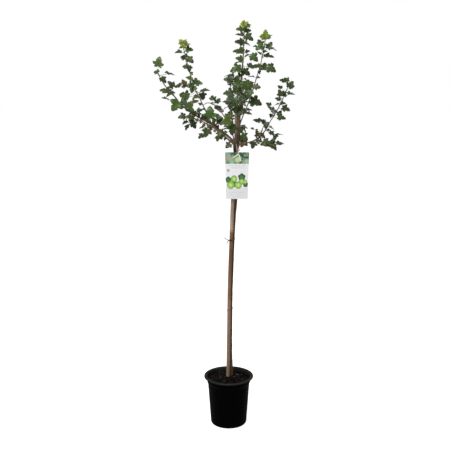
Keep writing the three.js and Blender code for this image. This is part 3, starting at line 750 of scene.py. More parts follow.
class Coat(Board):
    """The board of one material, with its Principled shader."""

    def __init__(self, name: str) -> None:
        """Starts a material.

        Args:
            name: The material's name.
        """
        self.material = bpy.data.materials.new(name)
        self.material.use_nodes = True
        super().__init__(self.material.node_tree)
        self.inputs = self.tree.nodes["Principled BSDF"].inputs

    def flow(self) -> Socket:
        """The coordinate that follows the piece's own growth."""
        return self.node("Attribute", attribute_name="flow").outputs["Vector"]

    def marks(self) -> Sequence[Socket]:
        """The three values that the piece gives its finish."""
        return self.parts(self.node("Attribute", attribute_name="mark").outputs["Vector"])

    def finish(
        self, colour: Socket, rough: Socket, relief: Socket, depth: float, strength: float, shine: float = 0.5
    ) -> Material:
        """Feeds the shader.

        Args:
            colour: The base colour.
            rough: The roughness.
            relief: A height from 0 to 1.
            depth: How deep the relief is, in metres.
            strength: How much of the relief shows.
            shine: The specular level.

        Returns:
            The material.
        """
        bump = self.node("Bump", {"Strength": strength, "Distance": depth, "Height": relief})
        self.feed(self.inputs["Normal"], bump.outputs[0])
        self.feed(self.inputs["Base Color"], colour)
        self.feed(self.inputs["Roughness"], rough)
        self.inputs["Specular IOR Level"].default_value = shine
        return self.material


# ---- finishes


@dataclass(frozen=True)
class BladeFinish:
    """Leaf blades: glossy above, matt and greyer below, from lime when young to olive brown when old."""

    young: Colour = (0.26, 0.30, 0.022)
    fresh: Colour = (0.035, 0.080, 0.005)
    grown: Colour = (0.029, 0.048, 0.008)
    old: Colour = (0.115, 0.082, 0.016)
    under: Colour = (0.13, 0.165, 0.125)
    vein: Colour = (0.10, 0.15, 0.05)
    scorch: Colour = (0.10, 0.035, 0.015)
    roughness: float = 0.38
    specular: float = 0.42

    def make(self, effects: Effects) -> Material:
        """Wires the material. Its marks are age, shade and underside.

        Args:
            effects: The shared effects.

        Returns:
            The material.
        """
        board = Coat("leaf_blade")
        flow = board.flow()
        age, shade, under = board.marks()
        lines = board.use(effects.veins, Vector=flow)
        stops = [(0.08, self.young), (0.26, self.fresh), (0.5, self.grown), (0.8, self.grown)]
        colour = board.ramp(age, [*stops, (1.0, self.old)])
        cloud = board.noise(board.place(), 160.0, 3.0)
        colour = board.tint(colour, board.spread(cloud, 0.3, 0.7, (0.82, 1.2)))
        colour = board.tint(colour, board.spread(shade, 0.0, 1.0, (0.55, 1.6)))
        worn = board.times(board.spread(age, 0.72, 1.0), board.spread(cloud, 0.48, 0.62))
        colour = board.mix(worn, colour, self.scorch)
        lit = board.times(lines["Vein"], 0.45)
        colour = board.mix(lit, colour, self.vein)
        below = board.tint(board.mix(0.6, colour, self.under), board.spread(shade, 0.0, 1.0, (0.8, 1.25)))
        colour = board.mix(under, colour, below)
        rough = board.spread(under, 0.0, 1.0, (self.roughness, 0.75))
        relief = board.minus(board.times(lines["Quilt"], 0.5), lines["Vein"])
        return board.finish(colour, rough, relief, 0.0004, 0.5, self.specular)


@dataclass(frozen=True)
class BarkFinish:
    """Woody stems, from dark old bark to the tan bark of young shoots."""

    old: Colour = (0.064, 0.028, 0.010)
    worn: Colour = (0.130, 0.082, 0.047)
    young: Colour = (0.165, 0.13, 0.088)
    tip: Colour = (0.085, 0.095, 0.045)
    lichen: Colour = (0.22, 0.21, 0.16)
    # painted light: the colour of the lit +X side of the bark near the graft
    pale: Colour = (0.36, 0.28, 0.23)
    roughness: float = 0.72

    def make(self, effects: Effects) -> Material:
        """Wires the material. Its marks are youth, wear and how near the graft it is.

        Near the graft the bark is darkened as painted shade under the crown, and lightened on its +X side as
        a painted lit side.

        Args:
            effects: The shared effects.

        Returns:
            The material.
        """
        board = Coat("bark")
        flow = board.flow()
        youth, wear, graft = board.marks()
        grain = board.use(effects.grain, Vector=flow, Fineness=750.0)
        patches = board.use(effects.weather, Vector=board.place(), Fineness=26.0)
        pores = board.use(effects.speckle, Vector=flow, Fineness=330.0, Amount=0.5)
        stops = [(0.0, self.old), (0.3, self.worn), (0.6, self.young), (0.72, self.young), (0.95, self.tip)]
        colour = board.ramp(youth, stops)
        colour = board.tint(colour, board.spread(grain["Streak"], 0.0, 1.0, (0.62, 1.35)))
        lighter = board.times(patches["Patch"], board.math("ADD", 0.16, wear))
        colour = board.mix(lighter, colour, self.worn)
        colour = board.mix(board.times(pores["Mask"], 0.4), colour, self.lichen)
        # painted shade: the bark darkens near the graft, under the crown
        colour = board.tint(colour, board.spread(graft, 0.1, 0.8, (1.0, 0.42)))
        side, _, _ = board.parts(flow)
        # painted light: the +X side near the graft is lightened as if lit
        painted_lit_side = board.times(board.spread(side, 0.002, 0.004), board.spread(graft, 0.1, 0.6))
        colour = board.mix(painted_lit_side, colour, self.pale)
        rough = board.spread(grain["Streak"], 0, 1, (self.roughness, 0.9))
        return board.finish(colour, rough, grain["Height"], 0.0006, 0.7, 0.2)


@dataclass(frozen=True)
class ThornFinish:
    """Thorns: tan at the foot and red-brown at the point."""

    foot: Colour = (0.20, 0.13, 0.07)
    point: Colour = (0.075, 0.032, 0.018)

    def make(self, effects: Effects) -> Material:
        """Wires the material. Its first mark is the share of the thorn's length.

        Args:
            effects: The shared effects.

        Returns:
            The material.
        """
        board = Coat("thorn")
        along, _, _ = board.marks()
        cloud = board.noise(board.place(), 400.0)
        colour = board.ramp(along, [(0.0, self.foot), (0.55, self.foot), (1.0, self.point)])
        colour = board.tint(colour, board.spread(cloud, 0.3, 0.7, (0.75, 1.3)))
        grain = board.use(effects.grain, Vector=board.place(), Fineness=1500.0)
        rough = board.spread(grain["Streak"], 0, 1, (0.4, 0.6))
        return board.finish(colour, rough, grain["Height"], 0.0001, 0.5)


@dataclass(frozen=True)
class BambooFinish:
    """The cane: weathered, brown low down, golden under the upper node and pinkish grey above it, darker
    again higher up as painted shade under the label.
    """

    height: float = 1.216  # of the cane's top
    change: float = 0.761  # height of the node where the colour changes
    nodes: tuple[float, ...] = (0.14, 0.45, 0.76, 1.07)
    foot: Colour = (0.27, 0.185, 0.125)
    low: Colour = (0.20, 0.117, 0.07)
    middle: Colour = (0.24, 0.145, 0.09)
    warm: Colour = (0.21, 0.113, 0.06)
    shaded: Colour = (0.135, 0.063, 0.027)
    golden: Colour = (0.185, 0.10, 0.039)
    upper: Colour = (0.41, 0.275, 0.222)
    # darker from 0.815 m up: painted shade under the label
    top: Colour = (0.25, 0.182, 0.137)
    stain: Colour = (0.045, 0.028, 0.02)

    def make(self, effects: Effects) -> Material:
        """Wires the material on the height and the cane's own flow.

        Args:
            effects: The shared effects.

        Returns:
            The material.
        """
        board = Coat("bamboo")
        flow = board.flow()
        place = board.place()
        _, _, height = board.parts(place)
        grain = board.use(effects.grain, Vector=flow, Fineness=620.0)
        patches = board.use(effects.weather, Vector=board.multiply(place, (1.0, 1.0, 0.3)), Fineness=55.0)
        spots = board.use(effects.speckle, Vector=flow, Fineness=420.0, Amount=0.35)
        change = self.change / self.height
        stops = [(0.17, self.foot), (0.25, self.low), (0.345, self.middle), (0.45, self.warm)]
        stops += [(0.55, self.shaded), (change - 0.003, self.golden), (change, self.upper)]
        # painted shade under the label from 0.67 of the height up
        stops += [(0.67, self.top), (1.0, self.top)]
        colour = board.ramp(board.math("DIVIDE", height, self.height), stops)
        colour = board.tint(colour, board.spread(grain["Streak"], 0.0, 1.0, (0.8, 1.16)))
        colour = board.tint(colour, board.spread(patches["Patch"], 0.0, 1.0, (1.08, 0.8)))
        scar: Socket | None = None
        for node in self.nodes:
            gap = board.math("ABSOLUTE", board.minus(height, node + 0.0035))
            line = board.spread(gap, 0.0006, 0.0022, (0.7, 0.0))
            scar = line if scar is None else board.math("MAXIMUM", scar, line)
        dark = board.math("MAXIMUM", scar, board.times(spots["Mask"], 0.5))
        colour = board.mix(dark, colour, self.stain)
        rough = board.spread(patches["Patch"], 0, 1, (0.42, 0.65))
        return board.finish(colour, rough, grain["Height"], 0.0002, 0.5, 0.25)


@dataclass(frozen=True)
class PotFinish:
    """Black satin plastic with a fine moulded grain, faint scuffs, some dry soil dust and a painted highlight
    along the rim.
    """

    plastic: Colour = (0.0005, 0.0005, 0.0005)
    scuff: Colour = (0.004, 0.004, 0.004)
    dust: Colour = (0.02, 0.017, 0.014)
    # painted highlight along the rim's top edge
    rim: Colour = (0.030, 0.029, 0.029)

    def make(self, effects: Effects) -> Material:
        """Wires the material. Its first mark is how much dust settles there, its second is the painted
        highlight along the rim.

        Args:
            effects: The shared effects.

        Returns:
            The material.
        """
        board = Coat("pot_plastic")
        # the second mark is the rim's painted highlight
        settle, worn, _ = board.marks()
        place = board.place()
        film = board.use(effects.weather, Vector=place, Fineness=22.0)
        marks = board.use(effects.grain, Vector=board.multiply(place, (1.0, 1.0, 6.0)), Fineness=160.0)
        scuffed = board.times(film["Dust"], board.spread(marks["Streak"], 0.6, 1.0, (0.0, 0.5)))
        colour = board.mix(scuffed, self.plastic, self.scuff)
        dusty = board.times(film["Dust"], settle)
        colour = board.mix(dusty, colour, self.dust)
        # painted highlight: the rim is lightened as if lit
        rim_highlight = board.times(worn, board.spread(film["Patch"], 0, 1, (0.6, 1.0)))
        colour = board.mix(rim_highlight, colour, self.rim)
        rough = board.spread(film["Dust"], 0, 1, (0.5, 0.8))
        fine = board.noise(place, 1700.0, 2.0)
        return board.finish(colour, rough, fine, 0.00008, 0.6, 0.012)


@dataclass(frozen=True)
class CompostFinish:
    """Dark damp peat between the bark chips."""

    damp: Colour = (0.0012, 0.0010, 0.0008)
    dry: Colour = (0.007, 0.0056, 0.0047)
    fibre: Colour = (0.03, 0.020, 0.014)

    def make(self, effects: Effects) -> Material:
        """Wires the material on object coordinates.

        Args:
            effects: The shared effects.

        Returns:
            The material.
        """
        board = Coat("peat")
        place = board.place()
        crumbs = board.noise(place, 260.0, 8.0, 0.75)
        colour = board.ramp(crumbs, [(0.36, self.damp), (0.66, self.dry)])
        bits = board.use(effects.speckle, Vector=place, Fineness=300.0, Amount=0.55)
        colour = board.mix(board.times(bits["Mask"], 0.6), colour, self.fibre)
        damp = board.use(effects.weather, Vector=place, Fineness=58.0)
        colour = board.tint(colour, board.spread(damp["Patch"], 0, 1, (0.25, 2.6)))
        rough = board.spread(crumbs, 0.3, 0.7, (0.8, 1.0))
        return board.finish(colour, rough, crumbs, 0.002, 1.0, 0.04)


@dataclass(frozen=True)
class ChipFinish:
    """Composted bark chips: mostly dark brown, some red-brown and a few weathered grey."""

    dark: Colour = (0.0018, 0.0015, 0.0013)
    brown: Colour = (0.009, 0.0075, 0.0065)
    red: Colour = (0.030, 0.020, 0.015)
    grey: Colour = (0.06, 0.053, 0.048)

    def make(self, effects: Effects) -> Material:
        """Wires the material. Its first mark is the chip's own tone.

        Args:
            effects: The shared effects.

        Returns:
            The material.
        """
        board = Coat("bark_chip")
        tone, _, _ = board.marks()
        flow = board.flow()
        grain = board.use(effects.grain, Vector=flow, Fineness=2.6)
        stops = [(0.0, self.dark), (0.45, self.brown), (0.62, self.brown), (0.72, self.red)]
        colour = board.ramp(tone, [*stops, (0.93, self.red), (1.0, self.grey)])
        colour = board.tint(colour, board.spread(grain["Streak"], 0.0, 1.0, (0.55, 1.4)))
        damp = board.use(effects.weather, Vector=board.place(), Fineness=58.0)
        colour = board.tint(colour, board.spread(damp["Patch"], 0, 1, (0.2, 2.6)))
        rough = board.spread(grain["Streak"], 0, 1, (0.75, 0.95))
        return board.finish(colour, rough, board.noise(board.place(), 900.0, 5.0), 0.0006, 0.8, 0.05)


@dataclass(frozen=True)
class WireFinish:
    """Soft tie wire in a dark grey-green coat."""

    coat: Colour = (0.003, 0.004, 0.0035)
    rubbed: Colour = (0.010, 0.012, 0.011)

    def make(self, effects: Effects) -> Material:
        """Wires the material on object coordinates.

        Args:
            effects: The shared effects.

        Returns:
            The material.
        """
        board = Coat("tie_wire")
        film = board.use(effects.weather, Vector=board.place(), Fineness=240.0)
        colour = board.mix(film["Dust"], self.coat, self.rubbed)
        rough = board.spread(film["Patch"], 0, 1, (0.38, 0.55))
        return board.finish(colour, rough, board.noise(board.place(), 2500.0), 0.00005, 0.5)


@dataclass(frozen=True)
class StrapFinish:
    """The label's soft fibre strap, pale yellow-green."""

    pale: Colour = (0.78, 0.80, 0.56)
    shade: Colour = (0.52, 0.55, 0.32)

    def make(self, effects: Effects) -> Material:
        """Wires the material on the strap's own flow.

        Args:
            effects: The shared effects.

        Returns:
            The material.
        """
        board = Coat("strap_fibre")
        grain = board.use(effects.grain, Vector=board.flow(), Fineness=1600.0)
        colour = board.mix(grain["Streak"], self.shade, self.pale)
        rough = board.spread(grain["Streak"], 0, 1, (0.5, 0.7))
        return board.finish(colour, rough, grain["Height"], 0.0002, 0.6)


@dataclass(frozen=True)
class CardFinish:
    """The label's gloss card: a leafy band, plain broken rules and a plain drawing of round berries.

    The card's flow is its share across from the middle, its share down from the top and its side. An oval is
    its middle, its depth and its width, and stands as tall as it is wide on the card.
    """

    card: Colour = (0.74, 0.72, 0.75)
    foot: Colour = (0.66, 0.66, 0.68)
    rule: Colour = (0.38, 0.42, 0.36)
    lights: Colour = (0.60, 0.68, 0.50)
    leafy: Colour = (0.20, 0.36, 0.17)
    teal: Colour = (0.12, 0.24, 0.17)
    shadow: Colour = (0.03, 0.07, 0.05)
    berry: Colour = (0.11, 0.32, 0.02)
    glow: Colour = (0.62, 0.72, 0.22)
    vein: Colour = (0.06, 0.23, 0.06)
    sprig: Colour = (0.008, 0.045, 0.010)
    band: float = 0.245  # depth of the leafy band, as a share of the card
    lower: float = 0.77  # where the greyer foot of the card starts
    shape: float = 87 / 170  # the card's width by its height
    # depth, half width and strength of every rule
    rules: Vecs = (
        (0.285, 0.38, 1), (0.33, 0.30, 0.8), (0.86, 0.36, 0.4), (0.91, 0.32, 0.35), (0.95, 0.2, 0.3),
    )
    spots: Vecs = ((-0.38, 0.385, 0.07),)
    leaves: Vecs = ((-0.38, 0.585, 0.13), (0.21, 0.53, 0.16), (0.38, 0.69, 0.11), (-0.1, 0.68, 0.13))
    berries: Vecs = (
        (-0.13, 0.565, 0.15), (0.35, 0.63, 0.1), (0.21, 0.625, 0.125), (-0.28, 0.70, 0.17),
        (0.06, 0.70, 0.165),
    )
    # soft spots of the band
    blurs: tuple[tuple[Vec, Colour], ...] = (
        ((-0.36, 0.12, 0.22), (0.42, 0.32, 0.28)), ((-0.22, 0.21, 0.20), (0.25, 0.48, 0.25)),
        ((0.04, 0.15, 0.20), (0.55, 0.66, 0.42)), ((0.40, 0.19, 0.16), (0.42, 0.52, 0.38)),
        ((-0.1, 0.01, 0.16), (0.06, 0.09, 0.07)), ((-0.4, 0.03, 0.2), (0.2, 0.4, 0.25)),
    )

    def oval(self, board: Board, flow: Socket, effects: Effects, at: Vec, lobes: float = 0.0) -> Wiring:
        """An oval on the card.

        Args:
            board: The material's board.
            flow: The card's flow.
            effects: The shared effects.
            at: The oval's middle, depth and half width.
            lobes: How deep its lobes are.

        Returns:
            What the disc effect puts out.
        """
        across, down, _ = board.parts(flow)
        x, y, wide = at
        places = {"Across": across, "Down": down, "Middle": x, "Depth": y}
        return board.use(effects.disc, **places, Width=wide, Height=wide * self.shape, Lobes=lobes)

    def band_print(self, board: Board, flow: Socket, effects: Effects) -> Socket:
        """A blurred bed of leaves: pale lights, greens and dark gaps by the distance to scattered places.

        Args:
            board: The material's board.
            flow: The card's flow.
            effects: The shared effects.

        Returns:
            The colour.
        """
        square = board.multiply(flow, (1.0, 1 / self.shape, 1.0))
        blur = board.noise(square, 7.0, 2.0)
        near = board.math("ADD", board.cells(square, 8.0), board.times(blur, 0.9))
        stops = [(0.36, self.lights), (0.5, self.leafy), (0.72, self.teal), (0.9, self.leafy)]
        leafy = board.ramp(near, [*stops, (1.0, self.shadow)])
        for at, colour in self.blurs:
            near = self.oval(board, flow, effects, at)["Nearness"]
            leafy = board.mix(board.spread(near, 0.1, 0.6, (0, 0.75)), leafy, colour)
        return leafy

    def make(self, effects: Effects) -> Material:
        """Wires the print on the card's front.

        Args:
            effects: The shared effects.

        Returns:
            The material.
        """
        board = Coat("label_print")
        flow = board.flow()
        across, down, side = board.parts(flow)
        colour = board.mix(board.spread(down, self.lower - 0.01, self.lower), self.card, self.foot)
        in_band = board.spread(down, self.band - 0.004, self.band, (1, 0))
        front = board.mix(in_band, colour, self.band_print(board, flow, effects))
        broken = board.spread(board.noise(board.multiply(flow, (70.0, 9.0, 0.0)), 1.0, 1.0), 0.42, 0.48)
        for depth, half, strength in self.rules:
            level = board.math("ABSOLUTE", board.minus(down, depth))
            inside = board.spread(level, 0.006, 0.009, (strength, 0))
            short = board.spread(board.math("ABSOLUTE", across), half, half + 0.01, (1, 0))
            mask = board.times(board.times(inside, short), broken)
            front = board.mix(mask, front, self.rule)
        for ovals, lobes, rim, middle in (
            (self.spots, 0.0, self.rule, self.rule),
            (self.leaves, 0.1, self.sprig, self.vein),
            (self.berries, 0.0, self.berry, self.glow),
        ):
            for at in ovals:
                oval = self.oval(board, flow, effects, at, lobes)
                share = board.spread(oval["Nearness"], 0.12, 1.0)
                filled = board.mix(board.math("MAXIMUM", share, oval["Stripe"]), rim, middle)
                front = board.mix(oval["Mask"], front, filled)
        colour = board.mix(board.spread(side, 0.4, 0.6), colour, front)
        film = board.use(effects.weather, Vector=board.place(), Fineness=60.0)
        rough = board.spread(film["Patch"], 0, 1, (0.3, 0.42))
        return board.finish(colour, rough, board.noise(board.place(), 90.0), 0.0003, 0.25)


# ---- pot and soil


@dataclass
class NurseryPot:
    """A round tapered nursery pot with a wider collar and a flat rolled rim. Sizes are in millimetres."""

    height: float = 192
    base_radius: float = 69.5
    base_edge: float = 8
    shoulder_radius: float = 80.5
    shoulder_height: float = 163
    collar_radius: float = 84.5
    collar_height: float = 169
    rim_radius: float = 95
    rim_depth: float = 5
    wall: float = 1.8
    drains: int = 6
    drain_radius: float = 5
    drain_circle: float = 50
    drain_sides: int = 24
    ribs: int = 4  # faint moulded ribs round the collar
    rib_relief: float = 0.22
    lip: float = 1.6  # radius of the rim's outer edge
    floor_rings: Pairs = ((8, 0), (30, 0))
    sides: int = 144

    def inner_profile(self, offset: float) -> list[tuple[float, float]]:
        """The wall's inner line from the floor to the collar, moved inwards by an offset.

        Args:
            offset: How far inwards, in millimetres.

        Returns:
            Radius and height of every ring.
        """
        wall = self.wall + offset
        return [
            (self.base_radius - self.base_edge, wall),
            (self.base_radius - wall, self.base_edge),
            (self.shoulder_radius - wall, self.shoulder_height + wall / 3),
            (self.collar_radius - wall, self.collar_height + wall / 3),
        ]

    def outer_profile(self) -> list[tuple[float, float]]:
        """The outer line from the base round its rounded edge, up the ribbed collar and over the rim.

        Formula: quarter circles for the edge and the lip, a straight taper for the wall, and a slow taper
        plus a sine for the collar's ribs.

        Returns:
            Radius and height of every ring.
        """
        edge = self.base_edge
        turn = np.linspace(-np.pi / 2, 0, 7)
        middle = self.base_radius - edge
        rows = [*self.floor_rings]
        rows += [(middle + edge * math.cos(t), edge + edge * math.sin(t)) for t in turn]
        rise = np.linspace(edge, self.shoulder_height, 24)[1:]
        slope = (self.shoulder_radius - self.base_radius) / (self.shoulder_height - edge)
        rows += [(self.base_radius + slope * (z - edge), z) for z in rise]
        collar, level = self.collar_radius, self.collar_height
        rows += [(collar - 1.6, level - 1.5), (collar - 0.8, level)]
        foot = self.height - self.rim_depth
        for z in np.linspace(level + 2, foot - 2, 13):
            share = (z - level) / (foot - level)
            rib = self.rib_relief * math.sin(share * self.ribs * 2 * math.pi)
            rows.append((collar - 0.8 + 1.3 * share + rib, float(z)))
        rim, top, lip = self.rim_radius, self.height, self.lip
        rows += [(collar + 0.5, foot - 0.3), (collar + 1.2, foot)]
        rows += [(rim - 1.2, foot), (rim - 0.3, foot + 0.4), (rim, foot + 1.2)]
        bend = np.linspace(0, np.pi / 2, 5)
        rows += [(rim - lip + lip * math.cos(t), top - lip + lip * math.sin(t)) for t in bend]
        inner = collar - self.wall
        rows += [(rim - 5, top), (inner + 2.4, top - 0.1), (inner + 1.2, top - 0.5), (inner + 0.4, top - lip)]
        return rows

    def dust_and_rim_highlight(self, mesh: bpy.types.Mesh) -> None:
        """Marks where dust settles, on the collar and near the ground, and the rim's painted highlight.

        Args:
            mesh: The pot's mesh.
        """
        points = np.empty(3 * len(mesh.vertices), np.float32)
        mesh.vertices.foreach_get("co", points)
        z = points[2::3] / MM
        dust = 0.05 + 0.15 * np.exp(-z / 9) + 0.2 * bell(z - self.collar_height, 5)
        # the second mark places the painted highlight along the rim
        marks = join(dust, bell(z - self.height, 4), 0 * z)
        mesh.attributes["mark"].data.foreach_set("vector", marks.astype(np.float32).ravel())

    def drill(self, made: Object) -> None:
        """Cuts the drain holes through the floor, which loses the marks, and marks what is left.

        Args:
            made: The pot, whose mesh is replaced by the drilled one.
        """
        cutters = []
        for turn in (np.arange(self.drains) + 0.5) * (2 * np.pi / self.drains):
            post = lathe([(self.drain_radius, -5), (self.drain_radius, 7)], self.drain_sides)
            post.points += self.drain_circle * MM * np.array([np.cos(turn), np.sin(turn), 0])
            cutters.append(post)
        tool = build("drain_posts", [], cutters)
        cut = made.modifiers.new("drains", "BOOLEAN")
        cut.operation = "DIFFERENCE"
        cut.solver = "EXACT"
        cut.object = tool
        evaluated = made.evaluated_get(bpy.context.evaluated_depsgraph_get())
        drilled = bpy.data.meshes.new_from_object(evaluated)
        self.dust_and_rim_highlight(drilled)
        made.modifiers.clear()
        made.data = drilled
        bpy.data.objects.remove(tool)

    def dress(self, finish: Material) -> None:
        """Makes the finished pot.

        Args:
            finish: The plastic.
        """
        inner = self.inner_profile(0)[::-1]
        floor = [(radius, self.wall) for radius, _ in reversed(self.floor_rings)]
        wall = lathe([*self.outer_profile(), *inner, *floor], self.sides)
        made = build("pot_shell", [finish], [wall])
        self.drill(made)
        deliver(made, "pot")


@dataclass
class Compost:
    """Bark compost filling the pot to just under its rim. Sizes are in millimetres."""

    pot: NurseryPot
    level: float = 177
    mound: float = 6
    lump: float = 1.6
    gap: float = 0.3
    chips: int = 330
    chip_size: tuple[float, float] = (2.2, 6.5)
    crumbs: int = 520
    crumb_size: tuple[float, float] = (0.8, 2.0)
    rings: int = 44
    sides: int = 150
    relief: float = 0.55

    def surface(self, x: Array, y: Array) -> Array:
        """The soil's height, in millimetres, over places in millimetres.

        Formula: the level, plus a mound that falls evenly to the wall, plus three crossing waves that die
        out at the wall.

        Args:
            x: Places across.
            y: Places in depth.

        Returns:
            The heights.
        """
        fall = 1 - np.hypot(x, y) / self.pot.collar_radius
        waves = (
            np.sin(x * 0.31 + y * 0.12) * np.cos(y * 0.27 - x * 0.09)
            + 0.7 * np.sin(x * 0.57 - y * 0.43 + 1.3)
            + 0.5 * np.cos(x * 0.19 + y * 0.71)
        )
        return self.level + self.mound * fall + self.lump * waves * np.minimum(1, fall * 4)

    def body(self) -> Patch:
        """The soil as one body: the pot's inner line, closed by a lumpy top.

        Formula: the line turned round Z, whose top is lifted by the surface's height and two ripples.

        Returns:
            The patch.
        """
        outer = self.pot.collar_radius - self.pot.wall - 2 * self.gap
        low = [(20, self.pot.wall + self.gap), *self.pot.inner_profile(self.gap), (outer, self.level - 1)]
        rings = [(outer * share, self.level) for share in np.linspace(1, 0.03, self.rings)]
        made = lathe([*low, *rings], self.sides)
        first = len(low) * self.sides
        top = np.r_[np.arange(first, len(made.points) - 2), len(made.points) - 1]
        x, y = made.points[top, 0] / MM, made.points[top, 1] / MM
        rough = ripple(made.points[top], 7 * MM, 5) + 0.5 * ripple(made.points[top], 3 * MM, 6)
        made.points[top, 2] = (self.surface(x, y) + self.relief * rough) * MM
        return made

    def scatter(self, count: int, size: tuple[float, float], seed: int) -> Patch:
        """Chips strewn over the soil.

        Formula: a chip is a ball squashed to a long flat shape, with each point moved in or out by a random
        share, turned at random and laid nearly flat on the surface.

        Args:
            count: How many chips.
            size: The shortest and longest half length, in millimetres.
            seed: Seed of the draws.

        Returns:
            All the chips as one patch.
        """
        random = np.random.default_rng(seed)
        half = size[0] + (size[1] - size[0]) * random.power(0.55, count)
        reach = self.pot.collar_radius - self.pot.wall - 1.5 - half
        far = reach * np.sqrt(random.uniform(0, 1, count))
        turn = random.uniform(0, 2 * np.pi, count)
        x, y = far * np.cos(turn), far * np.sin(turn)
        thin = half * random.uniform(0.16, 0.34, count)
        wide = half * random.uniform(0.35, 0.75, count)
        z = self.surface(x, y) + thin * 0.7
        yaw = random.uniform(0, 2 * np.pi, count)
        ahead = unit(join(np.cos(yaw), np.sin(yaw), random.normal(0, 0.28, count)))
        up = unit(join(random.normal(0, 0.28, count), random.normal(0, 0.28, count), np.ones(count)))
        side = unit(np.cross(up, ahead))
        up = np.cross(ahead, side)
        axes = np.stack([ahead * half[:, None], side * wide[:, None], up * thin[:, None]], 1) * MM
        template = egg(3, 6)
        bumps = random.uniform(-0.3, 0.25, (count, len(template[0])))
        marks = np.stack([random.uniform(0, 1, count)] * 3, -1)
        return repeat(template, join(x, y, z) * MM, axes, marks, bumps)

    def dress(self, peat: Material, chip: Material) -> None:
        """Makes the finished compost.

        Args:
            peat: The soil's finish.
            chip: The chips' finish.
        """
        chips = self.scatter(self.chips, self.chip_size, 11).wearing(CHIPS)
        crumbs = self.scatter(self.crumbs, self.crumb_size, 12).wearing(CHIPS)
        patches = [self.body(), chips, crumbs]
        deliver(build("compost_and_chips", [peat, chip], patches), "soil")


# ---- stem and cane

TRUNK_PATH: Vecs = (
    (6, 26, 100), (7, 26, 193), (6.8, 24.5, 340), (7.6, 22.5, 440), (9.3, 21, 547), (17, 16.5, 760),
    (25, 12.8, 874), (31.5, 6, 930), (34, -1, 968), (31, -9, 1014), (25, -13, 1058), (22, -12, 1094),
)

CANE_PATH: Vecs = (
    (-4, 12, 30), (-2.6, 12, 193), (-0.3, 10.5, 340), (2.6, 8, 550), (10.2, 3, 762), (14.2, 3, 875),
    (21.5, 5, 1009), (26, 7.5, 1080), (27, 8, 1216),
)


GRAFT: Vec = (27, -10, 1064)


def painted_graft_shading(points: Array) -> Array:
    """How near places are to the graft, which sets where the bark gets painted shade and a painted lit side:
    a smooth hump, 28 mm wide.
    """
    return bell(np.linalg.norm(points / MM - GRAFT, axis=-1), 28)


@dataclass
class Trunk:
    """The bare rootstock stem, with resting buds, pruned knots and the swollen graft at its head."""

    path: Path = field(default_factory=lambda: Path(TRUNK_PATH))
    # height and radius, in millimetres
    girth: Pairs = (
        (100, 9.5), (193, 9.5), (235, 8.4), (255, 7.5), (290, 6.8), (850, 6.2), (1000, 6.2), (1040, 6.9),
        (1062, 8.6), (1080, 7.8), (1094, 5.8),
    )
    bud_heights: tuple[float, ...] = (398, 455, 532, 812)
    knot_heights: tuple[float, ...] = (310, 350, 430, 492, 590, 640, 700, 778, 846, 905, 950, 992)
    graft: float = 1062
    soil: float = 193
    swelling: float = 0.10  # share that the root flare and the graft wave by
    knot_relief: float = 0.17
    sides: int = 26
    rings: int = 230

    def radius(self, height: Array) -> Array:
        """Radius in metres at heights in metres, by straight lines between the measured girths."""
        heights, radii = np.array(self.girth).T * MM
        return np.interp(height, heights, radii)

    def bole(self) -> Patch:
        """The stem with its bark relief.

        Formula: the girth, times one plus a root flare that waves five times round near the soil, a graft
        swelling that waves three times round, a hump at every pruned knot on its own side, and fine bark
        waves that run along the stem.

        Returns:
            The patch.
        """
        shares = np.linspace(0, 1, self.rings)
        line = self.path.at(shares)
        z = line[:, 2:] / MM
        turn = np.arange(self.sides)[None] * (2 * np.pi / self.sides)
        flare = self.swelling * bell(z - self.soil, 38) * np.cos(5 * turn + 0.6)
        graft = self.swelling * bell(z - self.graft, 26) * np.cos(3 * turn + 1.3)
        graft = graft + 0.06 * bell(z - self.graft, 20) * np.cos(5 * turn - z * 0.16)
        knots = np.zeros((self.rings, self.sides))
        for index, height in enumerate(self.knot_heights):
            facing = math.radians(40 + SPIRAL * index)
            apart = np.angle(np.exp(1j * (turn - facing)))
            knots += self.knot_relief * bell(z - height, 4.5) * bell(apart, 0.75)
        bark = join(np.cos(turn), np.sin(turn), z / 26)
        relief = 0.025 * ripple(bark, 1.1, 21) + 0.02 * ripple(bark * [2.4, 2.4, 2.0], 0.9, 22)
        radii = self.radius(line[:, 2])[:, None] * (1 + flare + graft + knots + relief)
        radii[-3:] *= np.array([0.93, 0.75, 0.4])[:, None]
        wear = 0.25 + 0.35 * bell(z[:, 0] - 250, 90)
        # the third mark sets the painted shade and the painted lit side near the graft
        marks = join(0.16 * bell(z[:, 0] - 260, 160), wear, painted_graft_shading(line))
        return sweep(line, self.path.way(shares), radii, radii, Y_AXIS, marks)

    def buds(self) -> Patch:
        """Resting buds: small eggs half sunk in the bark, one at each bud height in a spiral.

        Returns:
            The patch.
        """
        heights = np.array(self.bud_heights) * MM
        turn = np.radians(200 + SPIRAL * np.arange(len(heights)))
        shares = self.path.share_at(heights)
        out = join(np.cos(turn), np.sin(turn), 0)
        places = self.path.at(shares) + out * self.radius(heights)[:, None]
        side = np.cross(Z_AXIS, out)
        lean = unit(Z_AXIS + 0.35 * out)
        axes = np.stack([out * 2.0, side * 1.9, lean * 3.7], 1) * MM
        marks = np.broadcast_to(np.array([0.3, 0.2, 0]), (len(heights), 3))
        return repeat(egg(5, 10), places, axes, marks)


